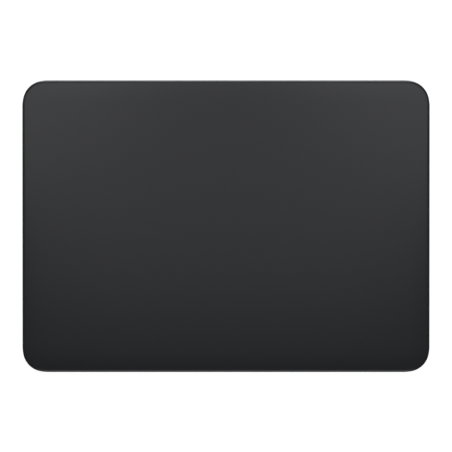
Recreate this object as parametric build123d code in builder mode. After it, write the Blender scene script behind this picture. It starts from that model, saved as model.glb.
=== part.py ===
from build123d import *
import math
import os

# A wireless trackpad: a thin wedge whose whole top is one glass touch surface. The glass
# rides on four flexures, so it can be pressed, and an electromagnet under it moves it
# sideways by a hair. Lengths are in millimetres. X runs across the trackpad, Y from the
# user to the rear wall and Z up, with the origin on the desk under the middle of the outline.

# Outline seen from above, and the height of the glass at the front and the rear
width = 160.0
depth = 114.9
front_height = 4.9
rear_height = 10.9

# Corner of the outline: a tight arc between two wide ones, so the sides run in gently
corner_radius = 8.4
blend_radius = 16.0
blend_angle = 12.0

# What moves: the glass is pressed down by one travel and shaken sideways by the other
press_travel = 0.2
buzz_travel = 0.1
moving_gap = 0.1

# Touch plate and its carrier, square to the glass and listed from the top down
glass_thickness = 1.1
glass_edge_radius = 0.45
glass_under_chamfer = 0.1
adhesive_thickness = 0.15
sensor_thickness = 0.8
sensor_inset = 3.0
gel_thickness = 0.3
plate_thickness = 0.4
plate_inset = 4.6
spacer_thickness = 0.4
spacer_radius = 3.2
flexure_thickness = 0.4

# Housing: one machined tray with square walls, a level floor and a level underside
foot_height = 0.5
wall = 2.2
glass_gap = 0.3
rim_chamfer = 0.15
underside_radius = 1.5
pocket_chamfer = 0.5
floor_thickness = 0.7
boss_corner = 1.0
cut_overrun = 1.0
bevel_angle = 45.0
quarter_turn = 90.0

# Bottom cover, let into the underside, and its adhesive
cover_inset = 3.6
cover_thickness = 0.7
cover_gap = 0.15
cover_edge_chamfer = 0.12
cover_glue_thickness = 0.1
cover_glue_width = 5.0
cover_glue_corner = 3.0

# Rubber feet, set into the cover
foot_radius = 4.6
foot_seat_depth = 0.3
foot_play = 0.1
foot_edge_chamfer = 0.2
foot_from_edge = 14.5

# Screws: two sizes, and the room between a shank and its hole
screw_play = 0.06
small_head_radius = 1.1
small_head_height = 0.45
small_shank_radius = 0.5
screw_bite = 0.55
screw_tip_room = 0.1
head_chamfer = 0.12

# Flexures: a screwed foot at the outer end, a narrow arm and a round tip
flexure_length = 26.0
flexure_width = 9.0
flexure_foot_length = 7.0
flexure_arm_width = 5.0
flexure_tip_radius = 3.8
flexure_corner = 1.2
flexure_screw_spacing = 5.2
flexure_side_gap = 2.2
flexure_wall_gap = 0.8
gauge_length = 4.0
gauge_width = 3.0
gauge_thickness = 0.08
gauge_from_foot = 0.6

# Actuator: two laminated E cores with a coil each, facing an armature under the glass
core_drop = 3.0
core_thickness = 1.2
core_leg_length = 14.0
core_back = 4.0
core_middle_leg = 8.0
core_outer_leg = 4.0
core_slot = 1.6
core_corner = 0.4
coil_build = 0.45
coil_play = 0.1
coil_length = 11.0
coil_from_face = 2.0
armature_width = 6.0
armature_flange_width = 8.0
armature_flange_thickness = 0.5
armature_gap = 0.25
actuator_plate_thickness = 0.5
actuator_plate_margin = 1.4
actuator_ear_width = 5.4
actuator_corner = 1.5
actuator_window_room = 1.0
actuator_floor_gap = 0.2

# Charging port in the middle of the rear wall, with its contacts on a tongue
port_width = 8.4
port_height = 2.6
port_chamfer = 0.2
port_depth = 6.7
shell_play = 0.03
shell_thickness = 0.3
shell_seam = 0.05
tongue_width = 6.69
tongue_thickness = 0.7
tongue_length = 4.4
tongue_corner = 0.3
port_block_depth = 1.2
contact_count = 12
contact_pitch = 0.5
contact_width = 0.25
contact_length = 3.2
contact_thickness = 0.05
contact_tail = 0.8
bracket_thickness = 0.4
bracket_depth = 3.6
bracket_play = 0.05
bracket_ear = 4.2
bracket_from_wall = 0.6
bracket_margin = 0.5

# Power switch near the right end of the rear wall
switch_from_side = 12.3
slot_length = 4.8
slot_height = 1.9
slot_play = 0.15
slot_chamfer = 0.12
knob_length = 2.1
knob_proud = 0.15
knob_edge_radius = 0.2
knob_round_share = 0.9
thin_wall = 1.2
slider_thickness = 0.6
slider_height = 2.8
slider_gap = 0.15
slider_play = 0.1
slider_cover = 0.3
marker_thickness = 0.05
switch_end_play = 0.2
switch_end_wall = 0.7
switch_height = 4.0
switch_depth = 3.6
switch_ear_depth = 2.8
switch_ear_width = 3.4
switch_ear_thickness = 0.8
switch_pocket_play = 0.15
switch_seam = 0.05
switch_corner = 0.5
switch_cable_from_end = 0.5

# Battery: a flat pouch with a sealed lip that carries its protection board
battery_wall_gap = 1.4
battery_roof_gap = 0.3
battery_front_gap = 1.6
battery_rear_gap = 0.5
battery_edge_chamfer = 0.5
battery_corner_radius = 2.0
battery_tape_thickness = 0.15
battery_tape_width = 14.0
battery_tape_count = 4
battery_lip = 4.4
battery_lip_thickness = 0.3
battery_lip_margin = 3.0
battery_board_gap = 2.6
protection_thickness = 0.7
protection_margin = 0.6
protection_length = 26.0
battery_lead_from_front = 11.0

# Logic board on level standoffs beside the battery
board_wall_gap = 3.0
board_width = 37.8
board_front = 6.0
board_thickness = 0.8
board_strip_width = 10.4
board_tab_margin = 0.4
board_corner = 0.8
board_rear_gap = 0.8
standoff_height = 1.0
standoff_radius = 2.2
board_screw_inset = 2.8
shield_height = 1.3
shield_sheet = 0.2
shield_corner = 0.8
processor_shield_length = 19.0
processor_shield_width = 13.5
power_shield_length = 13.0
power_shield_width = 9.5
shield_spacing = 3.0
chip_thickness = 0.8
chip_size = 3.2
chip_spacing = 4.4
passive_length = 1.2
passive_width = 0.6
passive_thickness = 0.5
passive_spacing = 1.8
passive_count = 6
socket_length = 6.4
socket_width = 2.6
socket_height = 0.8
socket_corner = 0.2
socket_inset = 0.6

# Flat cables
cable_width = 5.0
cable_thickness = 0.15
cable_bend = 0.5
cable_slope = 2.6
cable_seam = 0.05
cable_grip = 4.0
sensor_cable_run = 9.0

# Antenna board over a window in the floor, at the right of the actuator
antenna_length = 27.0
antenna_width = 8.0
antenna_thickness = 0.8
antenna_window_margin = 2.0
antenna_from_side = 8.0
antenna_behind_flexure = 4.0
antenna_corner = 1.0

# Windows of the support plate
window_corner = 2.0
plate_bar = 3.2
plate_side_band = 6.5
plate_hole_room = 0.6

# Chips under the sensor board
touch_chip_size = 7.0
touch_chip_thickness = 0.8
touch_chip_small = 4.6
touch_chip_spacing = 17.0

# Gel pads between the support plate and the sensor board
gel_length = 13.0
gel_width = 5.6
gel_corner = 1.0
side_gel_along = 12.0

# The glass plane leans forward between the two heights, and the walls stand square to it
rise = rear_height - front_height
lean = (rear_height - foot_height - underside_radius) * rise / depth
tilt = math.atan2(rise, depth - lean)
deck_length = math.hypot(rise, depth - lean)
deck = Plane(
    origin=(0, -lean / 2, (front_height + rear_height) / 2),
    x_dir=(1, 0, 0),
    z_dir=(0, -math.sin(tilt), math.cos(tilt)),
)
prism_reach = front_height + rear_height

# Depths under the top of the glass
sensor_top_drop = glass_thickness + adhesive_thickness
sensor_drop = sensor_top_drop + sensor_thickness
plate_top_drop = sensor_drop + gel_thickness
plate_drop = plate_top_drop + plate_thickness
spacer_drop = plate_drop + spacer_thickness
flexure_drop = spacer_drop + flexure_thickness
wall_drop = glass_thickness + glass_gap

# Heights over the desk
recess_top = foot_height + cover_thickness + cover_glue_thickness
floor_top = recess_top + floor_thickness
boss_root = recess_top + floor_thickness / 2
board_bottom = floor_top + standoff_height
board_top = board_bottom + board_thickness

# Corner arcs of the outline, which end at the same places whatever the inset
blend = math.radians(blend_angle)
corner_turn = quarter_turn - 2 * blend_angle
corner_extent = (
    blend_radius * (1 + math.sin(blend) - math.cos(blend))
    + corner_radius * (math.cos(blend) - math.sin(blend))
)
straight_across = width / 2 - corner_extent
straight_along = deck_length / 2 - corner_extent


def under_glass(drop):
    """The plane parallel to the glass surface that lies this far under it."""
    return deck.offset(-drop)


def height_at(along, drop):
    """The height over the desk of a point this far along the glass and under it."""
    return deck.origin.Z + along * math.sin(tilt) - drop * math.cos(tilt)


def along_at(height, drop):
    """How far along the glass the plane this far under it comes to a height."""
    return (height - deck.origin.Z + drop * math.cos(tilt)) / math.sin(tilt)


def level_y(along, drop):
    """The level Y of a point this far along the glass and under it."""
    return deck.origin.Y + along * math.cos(tilt) + drop * math.sin(tilt)


def outline(inset):
    """The outline of the trackpad, drawn in by an inset on every side."""
    with BuildSketch(Plane.XY) as shape:
        with BuildLine():
            at = Vector(-straight_across, inset - deck_length / 2)
            heading = Vector(1, 0)
            for side_length in (straight_across, straight_along) * 2:
                side = Line(at, at + heading * 2 * side_length)
                at = side @ 1
                for radius, turn in (
                    (blend_radius, blend_angle),
                    (corner_radius, corner_turn),
                    (blend_radius, blend_angle),
                ):
                    arc = JernArc(at, heading, radius - inset, turn)
                    at, heading = arc @ 1, arc % 1
        make_face()
    return shape.sketch


def bosses(drop, places, length, breadth):
    """Pads that stand on the floor and end square to the glass, this far under it."""
    with BuildPart() as pads:
        with BuildSketch(under_glass(drop)):
            with Locations(*places):
                RectangleRounded(length, breadth, boss_corner)
        extrude(amount=-prism_reach)
        split(bisect_by=Plane.XY.offset(boss_root), keep=Keep.TOP)
    return pads.part


def screws(plane, places, clamped):
    """Small screws whose heads sit on a plane and which bite past the clamped sheet."""
    with BuildPart() as row:
        with BuildSketch(plane):
            with Locations(*places):
                Circle(small_head_radius)
        extrude(amount=small_head_height)
        up = Axis(plane.origin, plane.z_dir)
        chamfer(row.faces().group_by(up)[-1].edges(), head_chamfer)
        with BuildSketch(plane):
            with Locations(*places):
                Circle(small_shank_radius)
        extrude(amount=-(clamped + screw_bite))
    return row.part


def screw_holes(plane, places, hole_depth):
    """Round holes for the shanks of small screws, cut down from a plane."""
    with BuildPart() as row:
        with BuildSketch(plane):
            with Locations(*places):
                Circle(small_shank_radius + screw_play)
        extrude(amount=-hole_depth)
    return row.part


def ribbon(points):
    """The section of a flat cable along these points, with its bends rounded."""
    with BuildSketch(Plane.XY) as section:
        with BuildLine():
            FilletPolyline(*points, radius=cable_bend)
        trace(line_width=cable_thickness)
    return section.sketch


# Flexures: the front pair is as far forward as the floor under their tips allows
tip_room = press_travel + moving_gap + gauge_thickness
front_flexure_start = max(along_at(floor_top + tip_room, flexure_drop), -straight_along)
front_flexure_along = front_flexure_start + flexure_width / 2
rear_flexure_along = deck_length / 2 - wall - flexure_wall_gap - flexure_width / 2
front_flexure_end = width / 2 - wall - flexure_side_gap
switch_x = width / 2 - switch_from_side
knob_travel = slot_length - knob_length - 2 * slot_play
slider_length = slot_length + knob_travel + 2 * slider_cover
switch_length = slider_length + knob_travel + 2 * (switch_end_play + switch_end_wall)
rear_flexure_end = switch_x - switch_length / 2 - flexure_side_gap - switch_pocket_play
flexure_places = (
    ("flexure_front_left", -1, front_flexure_end, front_flexure_along),
    ("flexure_front_right", 1, front_flexure_end, front_flexure_along),
    ("flexure_rear_left", -1, rear_flexure_end, rear_flexure_along),
    ("flexure_rear_right", 1, rear_flexure_end, rear_flexure_along),
)
foot_places = [
    (side * (end - flexure_foot_length / 2), along)
    for name, side, end, along in flexure_places
]
tip_places = [
    (side * (end - flexure_length + flexure_tip_radius), along)
    for name, side, end, along in flexure_places
]
flexure_screw_places = [
    (x, along + way * flexure_screw_spacing / 2)
    for x, along in foot_places
    for way in (-1, 1)
]

# Actuator: as far forward as its plate clears the floor
actuator_plate_drop = core_drop + core_thickness
actuator_drop = actuator_plate_drop + actuator_plate_thickness
core_width = core_middle_leg + 2 * (core_slot + core_outer_leg)
core_face = armature_width / 2 + buzz_travel + armature_gap
core_end = core_face + core_leg_length + core_back
actuator_depth = core_width + 2 * actuator_plate_margin
actuator_half = core_end + actuator_ear_width
actuator_start = along_at(floor_top + actuator_floor_gap, actuator_drop)
actuator_along = actuator_start + actuator_depth / 2
actuator_screw_x = actuator_half - actuator_ear_width / 2
actuator_screw_step = actuator_depth / 2 - actuator_ear_width / 2
actuator_screw_places = [
    (x * actuator_screw_x, actuator_along + y * actuator_screw_step)
    for x in (-1, 1)
    for y in (-1, 1)
]

# Charging port and switch stand in the middle of the height of the rear wall
port_drop = (wall_drop + rear_height - foot_height) / 2
rear_face = Plane(
    origin=under_glass(port_drop).from_local_coords((0, deck_length / 2, 0)),
    x_dir=(-1, 0, 0),
    z_dir=(0, math.cos(tilt), math.sin(tilt)),
)
shell_half_width = port_width / 2 + shell_play + shell_thickness
shell_half_height = port_height / 2 + shell_play + shell_thickness
shell_start = wall + shell_seam
shell_end = port_depth + port_block_depth
shell_floor_drop = port_drop + shell_half_height
bracket_half = shell_half_width + bracket_play + bracket_thickness + bracket_ear
bracket_screw_x = bracket_half - bracket_ear / 2
bracket_along = deck_length / 2 - wall - bracket_from_wall - bracket_depth / 2
bracket_places = [(-bracket_screw_x, bracket_along), (bracket_screw_x, bracket_along)]
pedestal_width = 2 * (bracket_half + bracket_margin)
port_back_along = deck_length / 2 - shell_end
port_cable_along = port_back_along - cable_seam - cable_width / 2
port_cable_y = level_y(port_cable_along, shell_floor_drop)
port_step_top = height_at(port_cable_along, shell_floor_drop)

# Switch body sits against the thinned wall
switch_start = thin_wall + switch_seam
switch_end = switch_start + switch_depth
switch_drop = port_drop + switch_height / 2
switch_front_along = deck_length / 2 - switch_end
switch_ear_along = switch_front_along - switch_ear_depth / 2
switch_ear_places = [
    (switch_x + way * (switch_length - switch_ear_width) / 2, switch_ear_along)
    for way in (-1, 1)
]

# Logic board and battery share the rear half of the floor
board_right = width / 2 - wall - board_wall_gap
board_left = board_right - board_width
rear_strip_y = min(
    level_y(rear_flexure_along - flexure_width / 2, flexure_drop),
    port_cable_y - cable_width / 2,
)
board_rear = rear_strip_y - board_rear_gap
board_depth = board_rear - board_front
board_x = (board_left + board_right) / 2
board_y = (board_front + board_rear) / 2
board_screw_places = [
    (x, y)
    for x in (board_left + board_screw_inset, board_right - board_screw_inset)
    for y in (board_front + board_screw_inset, board_rear - board_screw_inset)
]
battery_left = -(width / 2 - wall - battery_wall_gap)
battery_lip_end = board_left - battery_board_gap
battery_right = battery_lip_end - battery_lip
battery_front_along = actuator_start + actuator_depth + battery_front_gap
battery_front = level_y(battery_front_along, actuator_drop)
battery_rear = rear_strip_y - battery_rear_gap
battery_bottom = floor_top + battery_tape_thickness
battery_roof_drop = plate_drop + press_travel + battery_roof_gap
battery_top = height_at(battery_front_along, battery_roof_drop)
battery_thickness = battery_top - battery_bottom
battery_length = battery_right - battery_left
battery_depth = battery_rear - battery_front
battery_x = (battery_left + battery_right) / 2
battery_y = (battery_front + battery_rear) / 2
socket_top = board_top + socket_height
cable_z = socket_top + cable_thickness / 2
floor_cable_z = floor_top + cable_thickness / 2
strip_x = board_left + board_strip_width / 2
tab_rear = port_cable_y + socket_length / 2 + board_tab_margin
lip_top = socket_top - protection_thickness
battery_lead_y = board_front + battery_lead_from_front
main_left = board_left + board_strip_width
main_x = (main_left + board_right) / 2

# Feet, near the corners of the underside
underside_y = level_y(0, deck.origin.Z - foot_height)
foot_x = width / 2 - foot_from_edge
foot_y = deck_length / 2 - foot_from_edge
foot_corners = (
    ("foot_front_left", -foot_x, underside_y - foot_y),
    ("foot_front_right", foot_x, underside_y - foot_y),
    ("foot_rear_left", -foot_x, underside_y + foot_y),
    ("foot_rear_right", foot_x, underside_y + foot_y),
)

# Antenna board, right of the actuator and behind the front flexure
antenna_x = width / 2 - antenna_from_side - antenna_length / 2
antenna_start = front_flexure_along + flexure_width / 2 + antenna_behind_flexure
antenna_y = level_y(antenna_start, flexure_drop) + antenna_width / 2

os.makedirs("parts", exist_ok=True)

# Housing: the pocket that the rest lies in, square to the glass down to the level floor
with BuildPart() as pocket:
    with BuildSketch(deck):
        add(outline(wall))
    extrude(amount=-prism_reach)
    split(bisect_by=Plane.XY.offset(floor_top), keep=Keep.TOP)
    chamfer(pocket.faces().sort_by(Axis.Z)[0].edges(), pocket_chamfer)

# The level step under the cable of the port, ahead of the pedestal of the port
with BuildPart() as port_step:
    with BuildSketch(Plane.XY.offset(boss_root)):
        with Locations((0, port_cable_y)):
            Rectangle(pedestal_width, cable_width + 2 * cable_seam)
    extrude(amount=port_step_top - boss_root)

pedestal_depth = shell_end - wall + cut_overrun
pedestal_along = port_back_along + pedestal_depth / 2
switch_pedestal_depth = switch_end + switch_ear_depth - thin_wall
switch_pedestal_along = deck_length / 2 - thin_wall - switch_pedestal_depth / 2
hole_depth = screw_bite + screw_tip_room
flexure_plane = under_glass(flexure_drop)
actuator_plane = under_glass(actuator_drop)
port_plane = under_glass(shell_floor_drop)
switch_plane = under_glass(switch_drop)
board_plane = Plane.XY.offset(board_bottom)

with BuildPart() as housing:
    with BuildSketch(under_glass(wall_drop)):
        add(outline(0))
    extrude(amount=-prism_reach)
    split(bisect_by=Plane.XY.offset(foot_height), keep=Keep.TOP)
    fillet(housing.faces().sort_by(Axis.Z)[0].edges(), underside_radius)
    rim = housing.faces().sort_by(Axis(deck.origin, deck.z_dir))[-1]
    chamfer(rim.edges(), rim_chamfer)
    add(pocket.part, mode=Mode.SUBTRACT)
    # Mouths of the port and of the switch slot, with a small bevel outside
    with BuildSketch(rear_face):
        SlotOverall(port_width, port_height)
    extrude(amount=-(wall + cut_overrun), mode=Mode.SUBTRACT)
    with BuildSketch(rear_face):
        SlotOverall(port_width + 2 * port_chamfer, port_height + 2 * port_chamfer)
    extrude(amount=-port_chamfer, taper=bevel_angle, mode=Mode.SUBTRACT)
    with BuildSketch(rear_face):
        with Locations((-switch_x, 0)):
            SlotOverall(slot_length, slot_height)
    extrude(amount=-(wall + cut_overrun), mode=Mode.SUBTRACT)
    with BuildSketch(rear_face):
        with Locations((-switch_x, 0)):
            SlotOverall(slot_length + 2 * slot_chamfer, slot_height + 2 * slot_chamfer)
    extrude(amount=-slot_chamfer, taper=bevel_angle, mode=Mode.SUBTRACT)
    # The wall is thinned behind the switch slot
    with BuildSketch(rear_face.offset(-thin_wall)):
        with Locations((-switch_x, switch_pocket_play / 2)):
            Rectangle(
                switch_length + 2 * switch_pocket_play,
                switch_height + switch_pocket_play,
            )
    extrude(amount=-(switch_end - thin_wall), mode=Mode.SUBTRACT)
    # Bosses and pedestals on the floor
    add(bosses(flexure_drop, foot_places, flexure_foot_length, flexure_width))
    add(bosses(actuator_drop, actuator_screw_places, actuator_ear_width, actuator_ear_width))
    add(bosses(shell_floor_drop, [(0, pedestal_along)], pedestal_width, pedestal_depth))
    add(port_step.part)
    add(
        bosses(
            switch_drop,
            [(switch_x, switch_pedestal_along)],
            switch_length,
            switch_pedestal_depth,
        )
    )
    with BuildSketch(board_plane):
        with Locations(*board_screw_places):
            Circle(standoff_radius)
    extrude(amount=-(standoff_height + floor_thickness / 2))
    # Blind holes for the screws
    add(screw_holes(flexure_plane, flexure_screw_places, hole_depth), mode=Mode.SUBTRACT)
    add(screw_holes(actuator_plane, actuator_screw_places, hole_depth), mode=Mode.SUBTRACT)
    add(screw_holes(port_plane, bracket_places, hole_depth), mode=Mode.SUBTRACT)
    add(screw_holes(switch_plane, switch_ear_places, hole_depth), mode=Mode.SUBTRACT)
    add(screw_holes(board_plane, board_screw_places, hole_depth), mode=Mode.SUBTRACT)
    # Recess for the bottom cover, and a window in the floor under the antenna
    with BuildSketch(Plane.XY.offset(foot_height)):
        with Locations((0, underside_y)):
            add(outline(cover_inset))
    extrude(amount=recess_top - foot_height, mode=Mode.SUBTRACT)
    with BuildSketch(Plane.XY.offset(recess_top)):
        with Locations((antenna_x, antenna_y)):
            RectangleRounded(
                antenna_length - 2 * antenna_window_margin,
                antenna_width - 2 * antenna_window_margin,
                antenna_corner,
            )
    extrude(amount=floor_thickness, mode=Mode.SUBTRACT)
housing.part.label = "housing"
export_step(housing.part, "parts/housing.step")

# Bottom cover, flush in the recess, with a round seat for each foot
with BuildPart() as bottom_cover:
    with BuildSketch(Plane.XY.offset(foot_height)):
        with Locations((0, underside_y)):
            add(outline(cover_inset + cover_gap))
    extrude(amount=cover_thickness)
    chamfer(bottom_cover.faces().sort_by(Axis.Z)[0].edges(), cover_edge_chamfer)
    with BuildSketch(Plane.XY.offset(foot_height)):
        with Locations(*[(x, y) for name, x, y in foot_corners]):
            Circle(foot_radius + foot_play)
    extrude(amount=foot_seat_depth, mode=Mode.SUBTRACT)
bottom_cover.part.label = "bottom_cover"
export_step(bottom_cover.part, "parts/bottom_cover.step")

# Ring of adhesive that holds the cover
with BuildPart() as cover_adhesive:
    with BuildSketch(Plane.XY.offset(foot_height + cover_thickness)):
        with Locations((0, underside_y)):
            add(outline(cover_inset + cover_gap))
            RectangleRounded(
                width - 2 * (cover_inset + cover_gap + cover_glue_width),
                deck_length - 2 * (cover_inset + cover_gap + cover_glue_width),
                cover_glue_corner,
                mode=Mode.SUBTRACT,
            )
    extrude(amount=cover_glue_thickness)
cover_adhesive.part.label = "cover_adhesive"
export_step(cover_adhesive.part, "parts/cover_adhesive.step")

# Round rubber feet, seated in the cover
for name, x, y in foot_corners:
    with BuildPart() as foot:
        with BuildSketch(Plane.XY):
            with Locations((x, y)):
                Circle(foot_radius)
        extrude(amount=foot_height + foot_seat_depth)
        chamfer(foot.faces().sort_by(Axis.Z)[0].edges(), foot_edge_chamfer)
    foot.part.label = name
    export_step(foot.part, f"parts/{name}.step")

# Flexures: a foot that is screwed to its boss, an arm, and a round tip under a spacer
for name, side, end, along in flexure_places:
    foot_middle = side * (end - flexure_foot_length / 2)
    tip_middle = side * (end - flexure_length + flexure_tip_radius)
    with BuildPart() as flexure:
        with BuildSketch(flexure_plane):
            with Locations((foot_middle, along)):
                RectangleRounded(flexure_foot_length, flexure_width, flexure_corner)
            with Locations(((foot_middle + tip_middle) / 2, along)):
                Rectangle(abs(foot_middle - tip_middle), flexure_arm_width)
            with Locations((tip_middle, along)):
                Circle(flexure_tip_radius)
            with Locations((foot_middle, along)):
                with GridLocations(0, flexure_screw_spacing, 1, 2):
                    Circle(small_shank_radius + screw_play, mode=Mode.SUBTRACT)
        extrude(amount=flexure_thickness)
    flexure.part.label = name
    export_step(flexure.part, f"parts/{name}.step")

# A strain gauge under the arm of each flexure
with BuildPart() as strain_gauges:
    with BuildSketch(flexure_plane):
        gauge_from_end = flexure_foot_length + gauge_from_foot + gauge_length / 2
        with Locations(*[(s * (e - gauge_from_end), a) for n, s, e, a in flexure_places]):
            Rectangle(gauge_length, gauge_width)
    extrude(amount=-gauge_thickness)
strain_gauges.part.label = "strain_gauges"
export_step(strain_gauges.part, "parts/strain_gauges.step")

with BuildPart() as flexure_screws:
    add(screws(under_glass(spacer_drop), flexure_screw_places, flexure_thickness))
flexure_screws.part.label = "flexure_screws"
export_step(flexure_screws.part, "parts/flexure_screws.step")

# Actuator: its base plate has one window under both coils and the armature
coil_half_width = core_middle_leg / 2 + coil_play + coil_build
with BuildPart() as actuator_base:
    with BuildSketch(actuator_plane):
        with Locations((0, actuator_along)):
            RectangleRounded(2 * actuator_half, actuator_depth, actuator_corner)
            RectangleRounded(
                2 * (core_face + coil_from_face + coil_length + coil_play),
                2 * (coil_half_width + coil_play),
                core_corner,
                mode=Mode.SUBTRACT,
            )
        with Locations(*actuator_screw_places):
            Circle(small_shank_radius + screw_play, mode=Mode.SUBTRACT)
    extrude(amount=actuator_plate_thickness)
actuator_base.part.label = "actuator_base"
export_step(actuator_base.part, "parts/actuator_base.step")

# Each core is an E with its three legs towards the armature, and its coil is on the middle one
for name, coil_name, side in (
    ("actuator_core_left", "coil_left", -1),
    ("actuator_core_right", "coil_right", 1),
):
    with BuildPart() as core:
        with BuildSketch(under_glass(actuator_plate_drop)):
            with Locations((side * (core_face + core_end) / 2, actuator_along)):
                RectangleRounded(core_end - core_face, core_width, core_corner)
            slot_step = core_middle_leg + core_slot
            with Locations((side * (core_face + core_leg_length / 2), actuator_along)):
                with GridLocations(0, slot_step, 1, 2):
                    Rectangle(core_leg_length, core_slot, mode=Mode.SUBTRACT)
        extrude(amount=core_thickness)
    core.part.label = name
    export_step(core.part, f"parts/{name}.step")

    coil_start = Plane(
        origin=under_glass(core_drop + core_thickness / 2).from_local_coords(
            (side * (core_face + coil_from_face), actuator_along, 0)
        ),
        x_dir=(0, side * math.cos(tilt), side * math.sin(tilt)),
        z_dir=(side, 0, 0),
    )
    with BuildPart() as coil:
        with BuildSketch(coil_start):
            RectangleRounded(
                2 * coil_half_width,
                core_thickness + 2 * (coil_play + coil_build),
                coil_build,
            )
            Rectangle(
                core_middle_leg + 2 * coil_play,
                core_thickness + 2 * coil_play,
                mode=Mode.SUBTRACT,
            )
        extrude(amount=coil_length)
    coil.part.label = coil_name
    export_step(coil.part, f"parts/{coil_name}.step")

with BuildPart() as actuator_screws:
    add(
        screws(
            under_glass(actuator_plate_drop),
            actuator_screw_places,
            actuator_plate_thickness,
        )
    )
actuator_screws.part.label = "actuator_screws"
export_step(actuator_screws.part, "parts/actuator_screws.step")

# Charging port: a seamless shell behind the wall, open at the front
with BuildPart() as port_shell:
    with BuildSketch(rear_face.offset(-shell_start)):
        SlotOverall(2 * shell_half_width, 2 * shell_half_height)
        SlotOverall(
            port_width + 2 * shell_play,
            port_height + 2 * shell_play,
            mode=Mode.SUBTRACT,
        )
    extrude(amount=shell_start - shell_end)
port_shell.part.label = "port_shell"
export_step(port_shell.part, "parts/port_shell.step")

# The block that closes the shell's back, with the tongue that carries the contacts
with BuildPart() as port_tongue:
    with BuildSketch(rear_face.offset(-port_depth)):
        SlotOverall(port_width, port_height)
    extrude(amount=-port_block_depth)
    with BuildSketch(rear_face.offset(-port_depth)):
        RectangleRounded(tongue_width, tongue_thickness, tongue_corner)
    extrude(amount=tongue_length)
port_tongue.part.label = "port_tongue"
export_step(port_tongue.part, "parts/port_tongue.step")

# Contacts on both faces of the tongue, and their tails behind the block
tongue_rise = (tongue_thickness + contact_thickness) / 2
with BuildPart() as port_contacts:
    with BuildSketch(rear_face.offset(-port_depth)):
        with Locations((0, tongue_rise), (0, -tongue_rise)):
            with GridLocations(contact_pitch, 0, contact_count, 1):
                Rectangle(contact_width, contact_thickness)
    extrude(amount=contact_length)
    with BuildSketch(rear_face.offset(-shell_end)):
        with Locations((0, -shell_half_height / 2)):
            with GridLocations(contact_pitch, 0, contact_count, 1):
                Rectangle(contact_width, shell_half_height)
    extrude(amount=-contact_tail)
    split(bisect_by=Plane.XY.offset(port_step_top + cable_thickness), keep=Keep.TOP)
port_contacts.part.label = "port_contacts"
export_step(port_contacts.part, "parts/port_contacts.step")

# Bracket over the shell, with an ear on each side
bracket_inner = shell_half_width + bracket_play
with BuildPart() as port_bracket:
    bracket_front = deck_length / 2 - (bracket_along + bracket_depth / 2)
    with BuildSketch(rear_face.offset(-bracket_front)):
        with Locations((0, (bracket_play + bracket_thickness) / 2)):
            RectangleRounded(
                2 * (bracket_inner + bracket_thickness),
                2 * shell_half_height + bracket_play + bracket_thickness,
                bracket_thickness,
            )
        with Locations((0, bracket_thickness / 2 - shell_half_height)):
            Rectangle(2 * bracket_half, bracket_thickness)
        with Locations((0, bracket_play / 2)):
            Rectangle(
                2 * bracket_inner,
                2 * shell_half_height + bracket_play,
                mode=Mode.SUBTRACT,
            )
    extrude(amount=-bracket_depth)
    with BuildSketch(port_plane):
        with Locations(*bracket_places):
            Circle(small_shank_radius + screw_play)
    extrude(amount=bracket_thickness, mode=Mode.SUBTRACT)
port_bracket.part.label = "port_bracket"
export_step(port_bracket.part, "parts/port_bracket.step")

with BuildPart() as port_screws:
    add(
        screws(
            under_glass(shell_floor_drop - bracket_thickness),
            bracket_places,
            bracket_thickness,
        )
    )
port_screws.part.label = "port_screws"
export_step(port_screws.part, "parts/port_screws.step")

# Switch body: a block with a groove for the slider, and two ears on its inner side
groove_depth = slider_gap + slider_thickness + slider_play - switch_seam
with BuildPart() as switch_body:
    with BuildSketch(rear_face.offset(-switch_start)):
        with Locations((-switch_x, 0)):
            Rectangle(switch_length, switch_height)
    extrude(amount=-switch_depth)
    with BuildSketch(switch_plane):
        ear_centres = [(x, switch_front_along) for x, y in switch_ear_places]
        with Locations(*ear_centres):
            RectangleRounded(switch_ear_width, 2 * switch_ear_depth, switch_corner)
        with Locations(*switch_ear_places):
            Circle(small_shank_radius + screw_play, mode=Mode.SUBTRACT)
    extrude(amount=switch_ear_thickness)
    with BuildSketch(rear_face.offset(-switch_start)):
        with Locations((-switch_x, 0)):
            Rectangle(
                slider_length + knob_travel + 2 * switch_end_play,
                slider_height + 2 * slider_play,
            )
    extrude(amount=-groove_depth, mode=Mode.SUBTRACT)
switch_body.part.label = "switch_body"
export_step(switch_body.part, "parts/switch_body.step")

with BuildPart() as switch_screws:
    add(
        screws(
            under_glass(switch_drop - switch_ear_thickness),
            switch_ear_places,
            switch_ear_thickness,
        )
    )
switch_screws.part.label = "switch_screws"
export_step(switch_screws.part, "parts/switch_screws.step")

# Slider: a plate behind the wall and a knob that comes through the slot
knob_x = switch_x + knob_travel / 2
knob_height = slot_height - 2 * slot_play
slider_plane = rear_face.offset(-(thin_wall + slider_gap))
with BuildPart() as switch_slider:
    with BuildSketch(slider_plane):
        with Locations((-knob_x, 0)):
            Rectangle(slider_length, slider_height)
    extrude(amount=-slider_thickness)
    with BuildSketch(slider_plane):
        with Locations((-knob_x, 0)):
            RectangleRounded(knob_length, knob_height, knob_round_share * knob_height / 2)
    extrude(amount=thin_wall + slider_gap + knob_proud)
    knob_face = switch_slider.faces().sort_by(Axis(rear_face.origin, rear_face.z_dir))[-1]
    fillet(knob_face.edges(), knob_edge_radius)
switch_slider.part.label = "switch_slider"
export_step(switch_slider.part, "parts/switch_slider.step")

# Coloured marker, which the knob leaves open to view when it is slid over
marker_length = knob_travel + slot_play
with BuildPart() as switch_marker:
    with BuildSketch(slider_plane):
        with Locations((-(knob_x + (knob_length + marker_length) / 2), 0)):
            Rectangle(marker_length, slot_height + 2 * slider_play)
    extrude(amount=marker_thickness)
switch_marker.part.label = "switch_marker"
export_step(switch_marker.part, "parts/switch_marker.step")

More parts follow.
